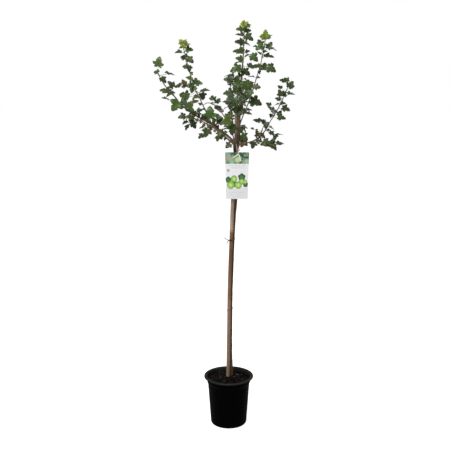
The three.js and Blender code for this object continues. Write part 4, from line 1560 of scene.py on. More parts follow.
@dataclass
class Cane:
    """A weathered bamboo cane pushed into the pot beside the stem. Sizes are in millimetres."""

    path: Path = field(default_factory=lambda: Path(CANE_PATH))
    foot_radius: float = 6.8
    top_radius: float = 6.5
    nodes: tuple[float, ...] = (140, 450, 760, 1070)
    swell: float = 0.9
    pith_depth: float = 25
    sides: int = 36
    rings: int = 420

    def radius(self, height: Array) -> Array:
        """Radius in metres at heights in metres, without the nodes.

        Args:
            height: Heights in metres.

        Returns:
            The radii.
        """
        foot, top = CANE_PATH[0][2] * MM, CANE_PATH[-1][2] * MM
        share = (height - foot) / (top - foot)
        return (self.foot_radius + (self.top_radius - self.foot_radius) * share) * MM

    def dress(self, finish: Material) -> None:
        """Makes the cane.

        Formula: the tapering radius, plus at every node a sharp ring, a softer swelling under it and a
        groove above it. At the cut top the rings turn in over a worn edge and run down the pith hole.

        Args:
            finish: The bamboo.
        """
        shares = np.linspace(0, 1, self.rings)
        line = self.path.at(shares)
        z = line[:, 2] / MM
        radii = self.radius(line[:, 2])
        for node in self.nodes:
            ring = 0.75 * bell(z - node, 1.6) + 0.45 * bell(z - node + 1.5, 7)
            groove = 0.35 * bell(z - node - 4.5, 1.5)
            radii = radii + (self.swell * ring - groove) * MM
        top = line[-1:]
        way = self.path.way(np.array([1.0]))
        inward = [(0.0, -0.25), (0.35, -0.6), (0.35, -3.2), (0.1, -3.7), (-0.8, -3.8)]
        rise, step = np.array([*inward, (-self.pith_depth, -3.9)]).T * MM
        line = np.vstack([line, top + rise[:, None] * way])
        radii = np.concatenate([radii, radii[-1] + step])
        ways = np.vstack([self.path.way(shares), np.repeat(way, len(rise), 0)])
        wide = np.repeat(radii[:, None], self.sides, 1)
        turn = np.arange(self.sides) * (2 * np.pi / self.sides)
        wide = wide * (1 + 0.012 * np.cos(2 * turn + 0.4) + 0.006 * np.cos(7 * turn))
        tube = sweep(line, ways, wide, wide, Y_AXIS, 0 * line)
        deliver(build("bamboo_cane", [finish], [tube]), "cane")


# ---- leafy stems

Leaf = tuple[float, float, float, float, float, float, float]


@dataclass(frozen=True)
class Shoot:
    """One leafy stem's growth: where it springs from, its line and its leaves. Sizes are in millimetres.

    A leaf is (x, z, aim, length, tilt, face, age). x and z are the middle of the blade and aim is where its
    tip points, seen from the front: 0 is right and 90 is up. Tilt is how far the tip leans to the front, and
    face how far the upper side is turned from the sky to the front: where it is negative, the underside
    shows. Age runs from lime at 0 to olive brown at 1. Sprouts are leaves too small for the solids. The
    rosette is the number and the length of the young leaves crowded round the tip.
    """

    parent: str
    radii: tuple[float, float]
    joint: float
    seed: int
    path: Vecs
    leaves: tuple[Leaf, ...]
    sprouts: tuple[Leaf, ...] = ()
    rosette: tuple[int, float] = (0, 0)

    def standing(self, rows: Array, index: Array) -> tuple[Array, ...]:
        """Where leaves of the table stand.

        Formula: a stalk starts at the place on the stem that lies nearest, seen from the front, to a point
        0.95 of the length plus 2 mm behind the tip side. The blade's foot is 0.45 of the length behind its
        middle, and it stands off the stem to the front or back by twice its lean and a random share.

        Args:
            rows: Leaves of the table.
            index: The number of every leaf, for its random share.

        Returns:
            The shares along the stem, the stalks' feet, the blades' feet and the ways that they point.
        """
        x, z, aim, length, tilt = rows.T[:5]
        turn, lean = np.radians(aim), np.radians(tilt)
        out = join(np.cos(turn) * np.cos(lean), -np.sin(lean), np.sin(turn) * np.cos(lean))
        shares = self.joint + 0.02 + (0.98 - self.joint) * np.linspace(0, 1, 201)
        places = self.line().at(shares)
        wanted = (rows[:, :2] - out[:, ::2] * (0.95 * length + 2)[:, None]) * MM
        nearest = np.hypot(places[:, 0] - wanted[:, :1], places[:, 2] - wanted[:, 1:]).argmin(1)
        foot = places[nearest]
        forwards = (0.5 * length + 2) * (2 * out[:, 1] + draw(self.seed, Series.STAND + index) - 0.5)
        back = 0.45 * length
        base = join(x - back * out[:, 0], foot[:, 1] / MM + forwards, z - back * out[:, 2]) * MM
        return shares[nearest], foot, base, out

    def crowded(self) -> tuple[Array, ...]:
        """Where the rosette's leaves stand, in a spiral that opens downwards: as standing, and their rows.

        Formula: leaf i is i spiral steps round, 0.004 i below the tip, and rises at 62 less 9 i degrees.

        Returns:
            Shares, feet, blades' feet and ways as in standing, and then the rows.
        """
        count, youngest = self.rosette
        i = np.arange(count)
        along = 1 - 0.004 * i
        length = youngest * (0.72 + 0.07 * i)
        turn, rise = np.radians(200 + SPIRAL * i), np.radians(62 - 9.0 * i)
        out = join(np.cos(turn) * np.cos(rise), np.sin(turn) * np.cos(rise), np.sin(rise))
        foot = self.line().at(along)
        base = foot + unit(out + 0.5 * self.line().way(along)) * (0.5 * length + 2)[:, None] * MM
        rows = np.zeros((count, 7))
        rows[:, 3], rows[:, 5], rows[:, 6] = length, 45, 0.03 + 0.12 * draw(self.seed, Series.YOUNG_AGE + i)
        return along, foot, base, out, rows

    def growth(self) -> dict[str, Array]:
        """Where every leaf stands: those of the table, then the rosette's, then the sprouts.

        Returns:
            Arrays by name.
        """
        table = np.array(self.leaves, float)
        sprouts = np.array(self.sprouts, float).reshape(-1, 7)
        *young, rows = self.crowded()
        first = self.standing(table, np.arange(len(table)))
        last = self.standing(sprouts, len(table) + len(rows) + np.arange(len(sprouts)))
        along, foot, base, out = (np.concatenate(parts) for parts in zip(first, young, last))
        rows = np.vstack([table, rows, sprouts])
        return {"along": along, "foot": foot, "base": base, "out": out, "rows": rows}

    def line(self) -> Path:
        """The stem's line."""
        return Path(self.path)

    def radius(self, share: Array) -> Array:
        """The wood's radius in metres: between the two radii by the share to the power of 0.8."""
        foot, tip = self.radii
        return (foot + (tip - foot) * np.asarray(share) ** 0.8) * MM


SHOOTS: dict[str, Shoot] = {
    "left_outer": Shoot(parent="trunk", radii=(4.7, 1.3), joint=0.05, seed=1, path=(
        (22, -12, 1090), (0, -15, 1113), (-32, -24, 1137), (-72, -38, 1166), (-109, -52, 1186),
        (-142, -66, 1208), (-170, -80, 1231), (-191, -92, 1259), (-219, -101, 1291), (-238, -107, 1322),
        (-248, -110, 1346),
    ), leaves=(
        (-241, 1374, 80, 32, 25, 75, 0.38), (-253, 1343, 165, 20, -20, 50, 0.6),
        (-227, 1316, 322, 24, 20, 30, 0.5), (-204, 1338, 5, 34, -40, 25, 0.5),
        (-200, 1300, 125, 26, 20, 50, 0.5), (-226, 1279, 163, 38, -15, 22, 0.52),
        (-207, 1267, 200, 24, 30, 40, 0.5), (-221, 1253, 155, 28, 30, 30, 0.5),
        (-198, 1275, 90, 16, -50, 30, 0.55), (-186, 1228, 235, 38, 25, 75, 0.4),
        (-195, 1243, 150, 22, -10, 50, 0.65), (-162, 1236, 150, 24, -20, 40, 0.75),
        (-136, 1229, 60, 34, 35, 65, 0.5), (-118, 1242, 30, 24, -25, 40, 0.85),
        (-105, 1210, 20, 20, -20, -60, 0.55), (-102, 1197, 170, 20, 45, 35, 0.5),
        (-68, 1199, 92, 44, 20, 85, 0.31), (-93, 1187, 100, 18, 20, 50, 0.55),
        (-52, 1169, 60, 22, 25, 50, 0.5), (-31, 1171, 70, 28, -15, 60, 0.7),
        (-38, 1187, 100, 18, -20, -50, 0.55), (-142, 1210, 160, 22, 30, 50, 0.7),
        (-126, 1200, 300, 22, 25, 55, 0.8),
    ), sprouts=(
        (-152, 1222, 60, 12, 10, 40, 0.85), (-138, 1214, 240, 14, 15, 45, 0.95),
        (-128, 1203, 80, 12, -10, -50, 0.5), (-117, 1197, 250, 14, 15, 50, 1),
        (-106, 1193, 60, 12, 10, 40, 0.9), (-84, 1179, 70, 13, 10, 50, 0.97),
        (-76, 1170, 240, 13, 15, 40, 0.85), (-62, 1164, 60, 12, -15, 50, 0.92),
        (-50, 1156, 250, 13, 15, 45, 1), (-40, 1151, 70, 12, 10, 40, 0.7), (-24, 1139, 60, 12, 10, 50, 0.92),
        (-12, 1130, 240, 12, 15, 45, 0.8), (-165, 1220, 20, 12, 10, 40, 0.9),
        (-158, 1238, 80, 12, 10, -40, 0.5),
    )),
    "left_low": Shoot(parent="trunk", radii=(3.5, 1.4), joint=0.1, seed=2, path=(
        (22, -14, 1082), (-4, -25, 1106), (-34, -38, 1133), (-68, -52, 1156), (-96, -64, 1171),
        (-120, -80, 1181), (-144, -96, 1189),
    ), leaves=(
        (-164, 1190, 190, 26, 20, 35, 0.55), (-140, 1188, 170, 24, 25, 50, 0.8),
        (-150, 1178, 250, 20, -40, 40, 0.55), (-150, 1171, 180, 26, 45, 15, 0.55),
        (-132, 1173, 250, 20, 25, 45, 0.7), (-142, 1159, 182, 30, -20, 12, 0.55),
        (-149, 1151, 235, 20, 20, 30, 0.55), (-124, 1159, 300, 24, -10, 50, 0.65),
        (-100, 1148, 185, 18, -20, 25, 0.55), (-80, 1133, 250, 30, 20, 65, 0.62),
        (-100, 1118, 215, 22, 20, 20, 0.55), (-41, 1109, 262, 18, 20, 60, 0.55),
        (-29, 1114, 290, 18, -10, 60, 0.55), (-35, 1125, 262, 20, 30, 45, 0.75),
        (-3, 1083, 215, 24, 20, 35, 0.7),
    ), sprouts=(
        (-128, 1191, 100, 13, 15, 60, 0.92), (-112, 1178, 80, 13, 10, -50, 0.5),
        (-100, 1171, 250, 14, 15, 50, 1), (-88, 1160, 60, 13, 20, 55, 1), (-74, 1154, 240, 13, 10, -60, 0.5),
        (-64, 1147, 70, 13, 15, 50, 0.95), (-50, 1138, 60, 12, 10, 45, 1), (-38, 1133, 250, 12, 15, 50, 0.8),
        (-22, 1120, 60, 12, 15, 40, 0.95), (-14, 1107, 240, 12, 10, 40, 0.7),
        (-136, 1180, 180, 12, 10, 30, 0.6),
    )),
    "left_upright": Shoot(parent="left_outer", radii=(2.4, 1.1), joint=0.03, seed=3, rosette=(4, 20), path=(
        (-65, -36, 1161), (-83, -16, 1203), (-103, 4, 1245), (-122, 20, 1281), (-138, 34, 1327),
        (-151, 46, 1370), (-162, 58, 1414), (-170, 66, 1441),
    ), leaves=(
        (-150, 1442, 25, 20, 20, 40, 0.22), (-147, 1426, 5, 26, 15, 45, 0.3),
        (-184, 1418, 178, 26, 20, 35, 0.55), (-166, 1400, 160, 28, -20, 40, 0.6),
        (-142, 1388, 325, 28, 25, 50, 0.52), (-160, 1366, 170, 22, -20, 45, 0.65),
        (-145, 1358, 280, 22, 20, 60, 0.55), (-144, 1322, 155, 26, 20, 45, 0.42),
        (-114, 1309, 5, 34, -15, 60, 0.36), (-141, 1296, 185, 26, 20, 50, 0.65),
        (-132, 1284, 250, 28, 25, 70, 0.6), (-165, 1296, 190, 24, -20, 40, 0.7),
        (-165, 1309, 110, 20, -10, 60, 0.97), (-189, 1296, 170, 27, -30, 35, 0.55),
        (-165, 1261, 160, 36, -25, 50, 0.5), (-155, 1253, 215, 24, -10, 40, 0.7),
        (-88, 1278, 15, 36, 20, 22, 0.65), (-97, 1258, 290, 28, -20, 60, 0.7),
        (-121, 1254, 200, 22, 20, 40, 0.5),
    ), sprouts=(
        (-92, 1213, 180, 14, 10, 40, 0.5), (-178, 1447, 165, 14, 10, 55, 0.1),
        (-158, 1450, 50, 14, 10, 60, 0.08), (-165, 1437, 300, 14, 20, 60, 0.16),
        (-173, 1456, 115, 14, 15, 70, 0.06), (-176, 1434, 190, 12, 10, 40, 0.45),
        (-136, 1340, 300, 12, 10, 30, 0.6), (-118, 1262, 20, 13, 10, -40, 0.5),
        (-104, 1232, 150, 13, 10, -50, 0.5),
    )),
    "left_inner": Shoot(parent="trunk", radii=(2.6, 1.1), joint=0.1, seed=4, path=(
        (22, -10, 1088), (8, 14, 1140), (-8, 34, 1170), (-30, 56, 1202), (-54, 76, 1225), (-78, 90, 1233),
        (-97, 100, 1225),
    ), leaves=(
        (-62, 1252, 95, 20, -20, 60, 0.55), (-41, 1241, 60, 24, -25, 50, 0.55),
        (-62, 1233, 175, 18, 20, 25, 0.55), (-44, 1215, 310, 18, 20, 50, 0.55),
        (-30, 1208, 340, 26, -20, 45, 0.7), (-13, 1215, 40, 18, 10, 12, 0.55),
        (4, 1191, 80, 30, -15, 60, 0.6),
    ), sprouts=(
        (-52, 1251, 60, 14, 20, 50, 0.5), (-14, 1180, 120, 10, 10, 40, 0.6),
    )),
    "leader": Shoot(parent="trunk", radii=(6.8, 1.2), joint=0.125, seed=5, rosette=(5, 20), path=(
        (25, -12, 1062), (33, -6, 1082), (35.5, -4, 1108), (36.5, -3.5, 1151), (38.5, -1, 1194),
        (40, 5, 1234), (42, 10, 1273), (45, 14, 1320), (49, 18, 1366), (52, 22, 1412), (54, 26, 1465),
        (55, 28, 1503),
    ), leaves=(
        (40, 1495, 178, 26, 15, 35, 0.4), (66, 1493, 8, 28, -20, 40, 0.5),
        (38, 1477, 155, 26, -15, 30, 0.55), (45, 1481, 110, 16, 20, 40, 0.55),
        (71, 1465, 335, 32, 20, 30, 0.6), (39, 1449, 165, 32, 15, 55, 0.55),
        (66, 1446, 350, 24, -15, 50, 0.55), (34, 1420, 165, 38, -15, 45, 0.55),
        (67, 1417, 20, 18, 15, 30, 0.55), (69, 1405, 35, 26, 10, 12, 0.55), (90, 1395, 320, 30, 15, 60, 0.4),
        (38, 1390, 160, 28, 20, 60, 0.5), (26, 1377, 195, 24, -15, 15, 0.55),
        (27, 1356, 190, 38, 20, 40, 0.42), (62, 1343, 330, 32, 15, 55, 0.52),
        (84, 1363, 355, 34, -15, 20, 0.55), (38, 1335, 120, 16, 10, 40, 0.55),
        (28, 1303, 185, 30, 15, 65, 0.5), (22, 1290, 235, 26, -15, 60, 0.55),
        (32, 1287, 280, 26, 20, 70, 0.38), (66, 1295, 300, 40, 20, 65, 0.42),
        (58, 1268, 300, 16, 10, 20, 0.55), (45, 1275, 280, 16, 20, 50, 0.55),
        (0, 1270, 170, 38, 20, 45, 0.55), (18, 1277, 200, 16, -15, 20, 0.55),
        (5, 1255, 200, 26, -15, 60, 0.6), (55, 1250, 20, 28, 15, 55, 0.45), (56, 1237, 30, 32, -15, 15, 0.7),
        (27, 1217, 250, 32, 35, 70, 0.7), (38, 1192, 250, 16, 15, 40, 0.55),
        (55, 1151, 350, 24, 15, 15, 0.55), (58, 1137, 310, 24, -15, 30, 0.7),
        (45, 1140, 270, 22, 15, 60, 0.5), (55, 1112, 320, 30, 15, 45, 0.65),
        (48, 1103, 280, 28, 30, 70, 0.85), (50, 1093, 250, 28, 40, 80, 1),
        (62, 1100, 330, 16, -15, 40, 0.75), (58, 1088, 340, 20, 30, 60, 0.95),
    ), sprouts=(
        (70, 1510, 10, 14, 10, 40, 0.25), (47, 1512, 160, 14, 15, 60, 0.12),
        (61, 1513, 35, 14, 15, 60, 0.12), (54, 1519, 95, 14, 15, 70, 0.07),
        (53, 1505, 250, 14, 25, 70, 0.16), (28, 1275, 160, 14, 10, 20, 0.55),
        (30, 1326, 200, 13, 10, -40, 0.5), (60, 1318, 340, 13, 10, -40, 0.5),
        (30, 1240, 160, 14, 10, -50, 0.5), (46, 1222, 320, 13, 10, -50, 0.5),
    )),
    "centre_right": Shoot(parent="leader", radii=(2.5, 1.2), joint=0.08, seed=6, path=(
        (36.5, -3, 1146), (46, -11, 1177), (60, -20, 1211), (74, -34, 1248), (86, -46, 1286),
        (97, -56, 1324), (108, -64, 1360), (116, -70, 1398), (122, -73, 1430), (126, -75, 1455),
    ), leaves=(
        (124, 1469, 85, 28, 15, 85, 0.2), (117, 1462, 160, 20, -10, 50, 0.22),
        (135, 1461, 20, 20, -15, 50, 0.3), (143, 1466, 45, 16, -20, 10, 0.6),
        (107, 1445, 110, 24, -15, 40, 0.5), (106, 1427, 200, 28, 20, 70, 0.3),
        (140, 1432, 60, 24, 15, 60, 0.4), (158, 1421, 340, 20, -15, 10, 0.6),
        (124, 1413, 20, 16, 20, 30, 0.4), (106, 1408, 130, 16, -20, 20, 0.7),
        (137, 1397, 5, 36, 15, 28, 0.75), (98, 1365, 160, 22, -20, 40, 0.7),
        (114, 1354, 340, 16, 20, 40, 0.75), (124, 1364, 70, 26, -15, 45, 0.62),
        (146, 1355, 335, 32, 20, 55, 0.45), (78, 1328, 170, 20, -20, 25, 0.6),
        (100, 1291, 355, 22, 15, 45, 0.55), (75, 1298, 110, 22, -15, 30, 0.7),
        (72, 1269, 260, 26, 20, 70, 0.4), (93, 1240, 345, 40, 20, 70, 0.28),
        (73, 1211, 10, 18, -10, 25, 0.6), (72, 1199, 0, 20, 15, 30, 0.75),
    ), sprouts=(
        (90, 1430, 170, 14, 10, 30, 0.8), (106, 1342, 290, 12, 15, 40, 0.75),
        (104, 1324, 0, 12, 10, 30, 0.7),
    )),
    "front": Shoot(parent="trunk", radii=(2.6, 1.1), joint=0.12, seed=7, path=(
        (26, -12, 1084), (18, -34, 1146), (7, -60, 1197), (1, -84, 1246), (5, -102, 1295), (11, -114, 1335),
    ), leaves=(
        (-5, 1317, 170, 24, 15, 60, 0.6), (-5, 1330, 178, 24, -15, 12, 0.55),
        (7, 1317, 265, 24, 20, 50, 0.55), (28, 1319, 75, 28, -15, 65, 0.45),
        (-10, 1241, 160, 26, -15, 15, 0.5), (4, 1232, 265, 28, 20, 50, 0.7),
        (21, 1240, 280, 34, 15, 75, 0.42), (45, 1209, 350, 36, 15, 60, 0.6),
        (20, 1211, 290, 22, 20, 40, 0.55), (-9, 1172, 200, 35, 20, 80, 0.22),
        (11, 1144, 270, 34, 20, 80, 0.38), (5, 1157, 230, 18, -10, 70, 0.3),
        (-10, 1143, 190, 24, -15, 12, 0.55),
    ), sprouts=(
        (12, 1334, 80, 12, 10, 40, 0.5), (1, 1300, 180, 12, 10, 40, 0.6), (-4, 1251, 200, 14, 10, 40, 0.7),
        (-14, 1154, 200, 12, 10, 40, 0.7), (0, 1262, 150, 14, 10, -40, 0.5),
        (14, 1180, 20, 14, 10, -50, 0.5),
    )),
    "back": Shoot(parent="leader", radii=(2.4, 1.1), joint=0.08, seed=8, path=(
        (38, -2, 1173), (44, 40, 1205), (48, 70, 1240), (50, 98, 1275), (50, 120, 1300),
    ), leaves=(
        (60, 1308, 40, 26, -30, 40, 0.55), (40, 1302, 120, 26, -30, 50, 0.55),
        (64, 1284, 350, 28, -20, 40, 0.55), (34, 1270, 170, 28, -10, 50, 0.55),
        (62, 1260, 20, 28, -35, 50, 0.55), (32, 1240, 200, 28, -20, 40, 0.55),
        (58, 1230, 340, 26, -30, 40, 0.55), (34, 1210, 170, 26, -30, 40, 0.55),
    )),
    "right_outer": Shoot(parent="trunk", radii=(3.1, 1.2), joint=0.15, seed=9, path=(
        (25, -12, 1066), (36, -6, 1082), (51, 0, 1087), (74, 8, 1092), (96, 17, 1099), (116, 26, 1115),
        (133, 34, 1132), (149, 44, 1160), (167, 53, 1188), (182, 62, 1212), (195, 70, 1237), (208, 77, 1264),
        (219, 84, 1291),
    ), leaves=(
        (203, 1316, 160, 26, -15, 55, 0.6), (217, 1318, 70, 16, 15, 50, 0.45),
        (228, 1300, 60, 28, 20, 60, 0.45), (190, 1291, 135, 18, -20, 25, 0.8),
        (235, 1267, 10, 30, -15, 10, 0.55), (189, 1270, 110, 24, 15, 55, 0.62),
        (202, 1264, 190, 24, 20, 45, 0.5), (183, 1248, 150, 20, -10, 25, 0.55),
        (199, 1232, 10, 20, 20, 40, 0.85), (178, 1229, 185, 18, -15, 20, 0.55),
        (210, 1213, 350, 30, 15, 45, 0.55), (146, 1229, 135, 20, -15, 30, 0.6),
        (157, 1210, 128, 32, 15, 35, 0.5), (188, 1197, 60, 20, -10, 30, 0.7),
        (193, 1181, 0, 27, 20, 40, 0.6), (160, 1142, 345, 20, -15, 12, 0.7),
        (159, 1122, 330, 24, 15, 30, 0.6), (172, 1108, 280, 22, -10, 30, 0.65),
        (187, 1119, 8, 24, -15, 25, 0.5), (103, 1123, 100, 24, 20, 45, 0.88),
        (126, 1113, 330, 20, -10, 40, 0.8), (89, 1083, 258, 24, 20, 45, 0.6),
        (109, 1092, 330, 20, -25, 50, 0.5),
    ), sprouts=(
        (239, 1295, 340, 14, -15, 50, 0.55), (156, 1187, 250, 14, 10, 20, 0.8),
        (148, 1135, 0, 14, 10, 20, 0.5), (116, 1099, 80, 12, 10, 30, 0.7), (170, 1204, 60, 12, 10, -40, 0.5),
        (140, 1152, 120, 12, 10, -40, 0.6), (112, 1108, 200, 12, 10, 40, 0.95),
    )),
    "right_inner": Shoot(parent="right_outer", radii=(1.9, 1.1), joint=0.14, seed=10, path=(
        (116, 26, 1115), (123, 19, 1139), (129, 12, 1157), (133, 6, 1173),
    ), leaves=(
        (103, 1171, 150, 26, -15, 40, 0.62), (122, 1168, 130, 24, 15, 40, 0.6),
        (134, 1157, 250, 22, 20, 50, 0.7),
    ), sprouts=(
        (86, 1142, 150, 12, 10, 20, 0.55), (101, 1137, 180, 12, 10, 20, 0.6),
    )),
    "right_low": Shoot(parent="right_outer", radii=(1.9, 1.1), joint=0.1, seed=11, path=(
        (96, 17, 1099), (114, 2, 1094), (135, -16, 1092), (155, -36, 1085), (169, -50, 1079),
    ), leaves=(
        (137, 1094, 345, 28, 20, 45, 0.45), (158, 1086, 325, 30, 15, 40, 0.55),
        (163, 1078, 320, 22, 20, 45, 0.65), (184, 1091, 8, 26, -15, 26, 0.5),
        (127, 1088, 340, 24, 45, 30, 0.5),
    ), sprouts=(
        (141, 1083, 330, 14, 10, 40, 0.55), (160, 1105, 60, 12, 10, 40, 0.55),
    )),
}


class LeafCut:
    """The outline of a gooseberry leaf of length 1, and the closed thin body that one leaf is.

    The outline runs anticlockwise from the petiole: a basal lobe, a toothed side lobe and a blunt middle
    lobe, mirrored. The blade is a fan from a hub near the petiole through an inner ring to the outline.
    """

    HUB: tuple[float, float] = (0.0, 0.08)
    HALF: Pairs = (
        (0.03, 0.0), (0.19, -0.12), (0.38, -0.09), (0.44, 0.05), (0.36, 0.14), (0.56, 0.17), (0.60, 0.31),
        (0.66, 0.45), (0.48, 0.50), (0.29, 0.53), (0.36, 0.68), (0.25, 0.79), (0.17, 0.94),
    )

    def __init__(self) -> None:
        """Works out the template's points and faces once."""
        half = np.array(self.HALF)
        edge = np.vstack([half, [[0.0, 1.03]], half[::-1] * [-1, 1]])
        count = len(edge)
        hub = np.array(self.HUB)
        spoke = edge - hub
        reach = np.linalg.norm(spoke, axis=1, keepdims=True)
        smooth = reach
        for _ in range(2):
            smooth = (np.roll(smooth, 1, 0) + 2 * smooth + np.roll(smooth, -1, 0)) / 4
        inner = hub + spoke / reach * smooth * 0.58
        self.flat = np.vstack([hub[None], inner, edge])
        self.rim = np.r_[0.0, np.full(count, 0.58), np.ones(count)]
        size = 2 * count + 1
        i = np.arange(count)
        j = (i + 1) % count
        top_fan = join(0 * i, 1 + i, 1 + j)
        top_ring = join(1 + i, 1 + count + i, 1 + count + j, 1 + j)
        edge_ring = join(1 + count + i, size + 1 + count + i, size + 1 + count + j, 1 + count + j)
        self.quads = np.vstack([top_ring, top_ring[:, ::-1] + size, edge_ring])
        self.triangles = np.vstack([top_fan, top_fan[:, ::-1] + size])
        self.soft = np.repeat([True, True, False], count)


@dataclass
class Foliage:
    """Builds the wood, leaves, buds and thorns of a shoot. Sizes are in millimetres."""

    blade_thickness: float = 0.36
    station_spacing: float = 6
    stem_sides: int = 10
    spine_spacing: float = 52
    spine_length: float = 9
    spine_radius: float = 0.75
    spine_hook: float = 0.09
    twin_share: float = 0.35  # of the thorns between the leaves
    spine_sides: int = 5
    petiole_sides: int = 5
    hump: float = 0.4  # how much the wood stands out at a leaf
    cut: LeafCut = field(default_factory=LeafCut)

    def wood(self, shoot: Shoot, start: float, end: float, collar: float = 0.0) -> Patch:
        """A stretch of a shoot's wood.

        Formula: the shoot's radius, plus a small hump at every leaf, times one plus slow waves of a few
        per cent. A stretch that reaches the tip narrows to a point there.

        Args:
            shoot: The shoot.
            start: Share where the stretch starts.
            end: Share where it ends.
            collar: How much wider it starts, in millimetres.

        Returns:
            The patch.
        """
        line = shoot.line()
        length = line.length()
        rings = max(4, int((end - start) * length / (self.station_spacing * MM)) + 1)
        shares = start + (end - start) * np.linspace(0, 1, rings)
        leaves = shoot.growth()["along"]
        away = np.abs(shares[:, None] - leaves[None]) * length / MM
        humps = self.hump * np.clip(bell(away, 3.0).sum(1), 0, 1.3)
        points = line.at(shares)
        waves = 1 + 0.05 * ripple(points, 22 * MM, shoot.seed)
        radii = shoot.radius(shares) * waves + humps * MM * (0.5 + shoot.radii[0] / 8)
        if end >= 1:
            radii[-1] *= 0.35
        from_start = (shares - start) * length / MM
        radii += collar * MM * np.exp(-from_start / 4)
        turn = np.arange(self.stem_sides) * (2 * np.pi / self.stem_sides)
        wide = radii[:, None] * (1 + 0.04 * np.cos(3 * turn + 8 * shares[:, None]))
        youth = np.clip(0.37 + 0.6 * shares + 0.2 * (1 - shoot.radii[0] / 5), 0, 1)
        # the third mark sets the painted shade and the painted lit side near the graft
        marks = join(youth, 0.15, painted_graft_shading(points))
        return sweep(points, line.way(shares), wide, wide, Y_AXIS, marks)

    def frames(self, shoot: Shoot) -> dict[str, Array]:
        """Where every leaf of a shoot sits and how it is turned.

        Formula: the blade's normal is the sky, turned to the front by the face, made square to the way the
        blade points and rolled by a random angle of up to 18 degrees.

        Args:
            shoot: The shoot.

        Returns:
            One array for each quantity, with a row for every leaf.
        """
        at = shoot.growth()
        out, rows = at["out"], at.pop("rows")
        count = np.arange(len(rows))
        face = np.radians(rows[:, 5])
        roll = np.radians(36 * (draw(shoot.seed, 3 * count) - 0.5))[:, None]
        facing = join(0 * face, -np.sin(face), np.cos(face))
        normal = unit(facing - (facing * out).sum(-1, keepdims=True) * out)
        normal = normal * np.cos(roll) + np.cross(out, normal) * np.sin(roll)
        return at | {
            "leave": unit(at["base"] - at["foot"]),
            "normal": normal,
            "across": np.cross(out, normal),
            "length": rows[:, 3:4] * MM,
            "fold": 0.12 + 0.2 * draw(shoot.seed, 3 * count + 1)[:, None],
            "droop": 0.08 + 0.22 * draw(shoot.seed, 3 * count + 2)[:, None],
            "chance": draw(shoot.seed, Series.WAVE + count)[:, None],
            "age": rows[:, 6:7],
        }

    def heights(self, at: dict[str, Array], x: Array, y: Array, edge: Array) -> Array:
        """How far the blade's middle surface stands off its plane, as a share of the length.

        Formula: the fold times the distance from the midrib, rounded at the midrib, less the droop times the
        square of the distance from the petiole, plus a wave that grows towards the margin.

        Args:
            at: Where the leaves stand.
            x: Places across.
            y: Places along.
            edge: How near the margin they are, from 0 to 1.

        Returns:
            The heights.
        """
        side = np.sqrt(x**2 + 0.04**2) - 0.04
        wave = np.sin(7 * x + 9 * y + 17 * at["chance"]) * 0.028 * edge**2
        return at["fold"] * side - at["droop"] * np.maximum(y, 0) ** 2 + wave

    def blades(self, shoot: Shoot, at: dict[str, Array]) -> Patch:
        """All the blades of a shoot: the cut's template placed by every leaf's own three directions.

        Formula: a point is the blade's foot plus the length times x across, y out and z along the normal,
        and half the thickness to either side. Slow sines of the leaf's chance vary x and y.

        Args:
            shoot: The stem.
            at: Where its leaves stand.

        Returns:
            The patch.
        """
        cut = self.cut
        chance = at["chance"]
        x = cut.flat[:, 0] * (1 + 0.07 * np.sin(15 * cut.flat[:, 1] + 23 * chance) * cut.rim)
        y = cut.flat[:, 1] * (1 + 0.05 * np.sin(11 * chance)) + 0 * x
        z = self.heights(at, x, y, cut.rim)
        axes = np.stack([at["across"], at["out"], at["normal"]], 1)
        middle = at["base"][:, None] + (join(x, y, z) * at["length"][..., None]) @ axes
        lift = at["normal"][:, None] * (self.blade_thickness / 2 * MM)
        plane = join(x, y, 6 * chance)
        shade = draw(shoot.seed, Series.SHADE + np.arange(len(x)))[:, None]
        top = join(at["age"], shade, 0 * x)
        points = np.concatenate([middle + lift, middle - lift], 1)
        flow, marks = np.concatenate([plane, plane], 1), np.concatenate([top, top + Z_AXIS], 1)
        made = bodies(points, (cut.quads, cut.triangles), flow, marks)
        made.soft = np.tile(cut.soft, len(x))
        return made

    def petioles(self, at: dict[str, Array]) -> Patch:
        """Leaf stalks that run on under the blade as its midrib.

        Formula: each stalk's centre line goes from the stem's middle to the blade's foot, a little bowed, and
        then along the under side at three shares of the length, while its radius falls from 0.95 to 0.1 mm.

        Args:
            at: Where the leaves stand.

        Returns:
            The patch.
        """
        mids = np.array([0.0, 0.3, 0.62, 0.9])
        zeros = 0 * mids + 0 * at["fold"]
        rise = self.heights(at, zeros, mids + zeros, zeros) * at["length"] - self.blade_thickness / 2 * MM
        ahead = at["out"][:, None] * (mids * at["length"])[..., None]
        under = at["base"][:, None] + ahead + at["normal"][:, None] * rise[..., None]
        bow = at["normal"] * -0.06 * at["length"]
        stalk = [at["foot"], at["foot"] * 0.55 + under[:, 0] * 0.45 + bow]
        line = np.concatenate([np.stack(stalk, 1), under], 1)
        scale = np.clip(at["length"] / (28 * MM), 0.6, 1.25)
        radii = np.array([0.95, 0.62, 0.56, 0.42, 0.28, 0.1]) * MM * scale
        wide = np.repeat(radii[..., None], self.petiole_sides, -1)
        marks = join(np.clip(at["age"], 0, 0.3), 0.55, 0)
        made = sweep(line, unit(np.gradient(line, axis=1)), wide, wide, at["normal"][:, None], marks)
        made.flow = np.full_like(made.points, 0.3)
        return made

